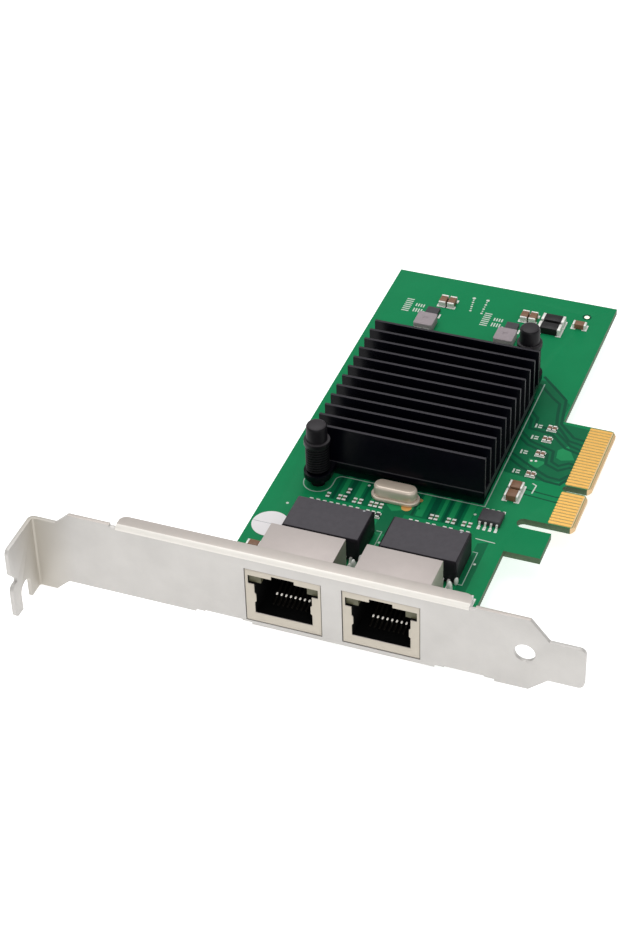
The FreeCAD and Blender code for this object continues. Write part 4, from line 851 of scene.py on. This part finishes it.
def make_inductor_terminals():
    """Tinned terminals on the near face of each power inductor."""
    for name in PAIR:
        low, high = corners("power_inductor_" + name)
        middle = (low.x + high.x) / 2
        shape = bmesh.new()
        for x in (middle - 1.0, middle + 1.0):
            add_box(shape, (x, low.y - 0.02, TOP + 0.6), (1.7, 0.06, 1.1))
        mesh_piece("inductor_terminals_" + name, shape, "solder")


def make_hole_lining():
    """Plating in the corner hole, painted with a glowing highlight."""
    radius, depth = 0.63, TOP - BOARD_LOW.z
    shape = bmesh.new()
    bmesh.ops.create_cone(
        shape,
        segments=32,
        radius1=radius,
        radius2=radius,
        depth=depth,
        cap_ends=False,
        matrix=Matrix.Translation((HOLE_X, HOLE_Y, TOP - depth / 2)),
    )
    bmesh.ops.reverse_faces(shape, faces=shape.faces)
    mesh_piece("corner_hole_lining", shape, "glowing_highlight", smooth=True)


def make_module_dots():
    """The round pin-one mark moulded in the top of each module."""
    for name, (_, high) in zip(PAIR, MODULES):
        dot = Art(high.z + 0.004)
        dot.disc(high.x - 2.2, high.y - 0.9, 0.28)
        dot.finish("module_dot_" + name, "pad_grey", "module_black")


make_contacts()
make_contact_tip_highlights()
make_port_gap_shade()
make_springs()
make_tab_solder()
make_module_dots()
make_base_glint()
make_inductor_terminals()
make_hole_lining()


# ---------------------------------------------------------------- stage, light and camera

# Lengths in metres, apart from the floor's gap, the lens and its sensor, in millimetres.
WHITE = (1.0, 1.0, 1.0, 1.0)
FLOOR_PALE, FLOOR_DIM = (0.6, 0.6, 0.6), (0.59, 0.59, 0.59)
FLOOR_SIZE = 4.0
FLOOR_GAP = 0.02
FLOOR_GLOW = 0.8
LIGHT_AIM = Vector((0.0, 0.05, 0.0))
SURROUND = 0.4

CAMERA_PLACE = Vector((0.13009, -0.33330, 0.33025))
CAMERA_AZIMUTH = 21.83
CAMERA_ELEVATION = 38.81
CAMERA_ROLL = -2.05
CAMERA_LENS = 92.49
CAMERA_SENSOR = 36.0
CAMERA_NEAR = 0.01


def make_floor():
    """A plain pale floor under the lowest point."""
    height = (BRACKET_LOW.z - FLOOR_GAP) * MM
    bpy.ops.mesh.primitive_plane_add(size=FLOOR_SIZE, location=(0, 0, height))
    floor = bpy.context.object
    floor.name = "floor"
    material = shader("floor_white", FLOOR_PALE, 0.9, specular=0.1, glow=FLOOR_GLOW)
    principled(material).inputs["Emission Color"].default_value = WHITE
    mottle(material, FLOOR_PALE, FLOOR_DIM, 6)
    floor.data.materials.append(material)


def make_light(name, place, size, power):
    """A square soft box that faces a point on the card."""
    data = bpy.data.lights.new(name, "AREA")
    data.size = size
    data.energy = power
    light = bpy.data.objects.new(name, data)
    bpy.context.collection.objects.link(light)
    light.location = place
    light.rotation_mode = "QUATERNION"
    light.rotation_quaternion = (LIGHT_AIM - Vector(place)).to_track_quat("-Z", "Y")


def make_world(strength):
    """An even pale surround."""
    world = bpy.data.worlds.new("surround")
    bpy.context.scene.world = world
    world.use_nodes = True
    background = world.node_tree.nodes["Background"]
    background.inputs["Color"].default_value = WHITE
    background.inputs["Strength"].default_value = strength


def make_camera():
    """A camera at the photograph's viewing angle."""
    data = bpy.data.cameras.new("camera")
    camera = bpy.data.objects.new("camera", data)
    bpy.context.collection.objects.link(camera)
    angles = (CAMERA_AZIMUTH, CAMERA_ELEVATION, CAMERA_ROLL)
    azimuth, elevation, roll = (math.radians(angle) for angle in angles)
    back = Vector((
        math.sin(azimuth) * math.cos(elevation),
        -math.cos(azimuth) * math.cos(elevation),
        math.sin(elevation),
    ))
    right = Vector((math.cos(azimuth), math.sin(azimuth), 0.0))
    up = back.cross(right)
    tilted_right = right * math.cos(roll) + up * math.sin(roll)
    tilted_up = up * math.cos(roll) - right * math.sin(roll)
    turn = Matrix((tilted_right, tilted_up, back)).transposed()
    camera.matrix_world = Matrix.Translation(CAMERA_PLACE) @ turn.to_4x4()
    data.lens = CAMERA_LENS
    data.sensor_width = CAMERA_SENSOR
    data.clip_start = CAMERA_NEAR
    bpy.context.scene.camera = camera


make_floor()
make_world(SURROUND)
make_light("overhead", (-0.15, 0.25, 0.75), 0.8, 4.5)
make_light("front", (0.25, -0.6, 0.35), 0.6, 1.5)
bpy.context.scene.view_settings.view_transform = "Standard"
make_camera()
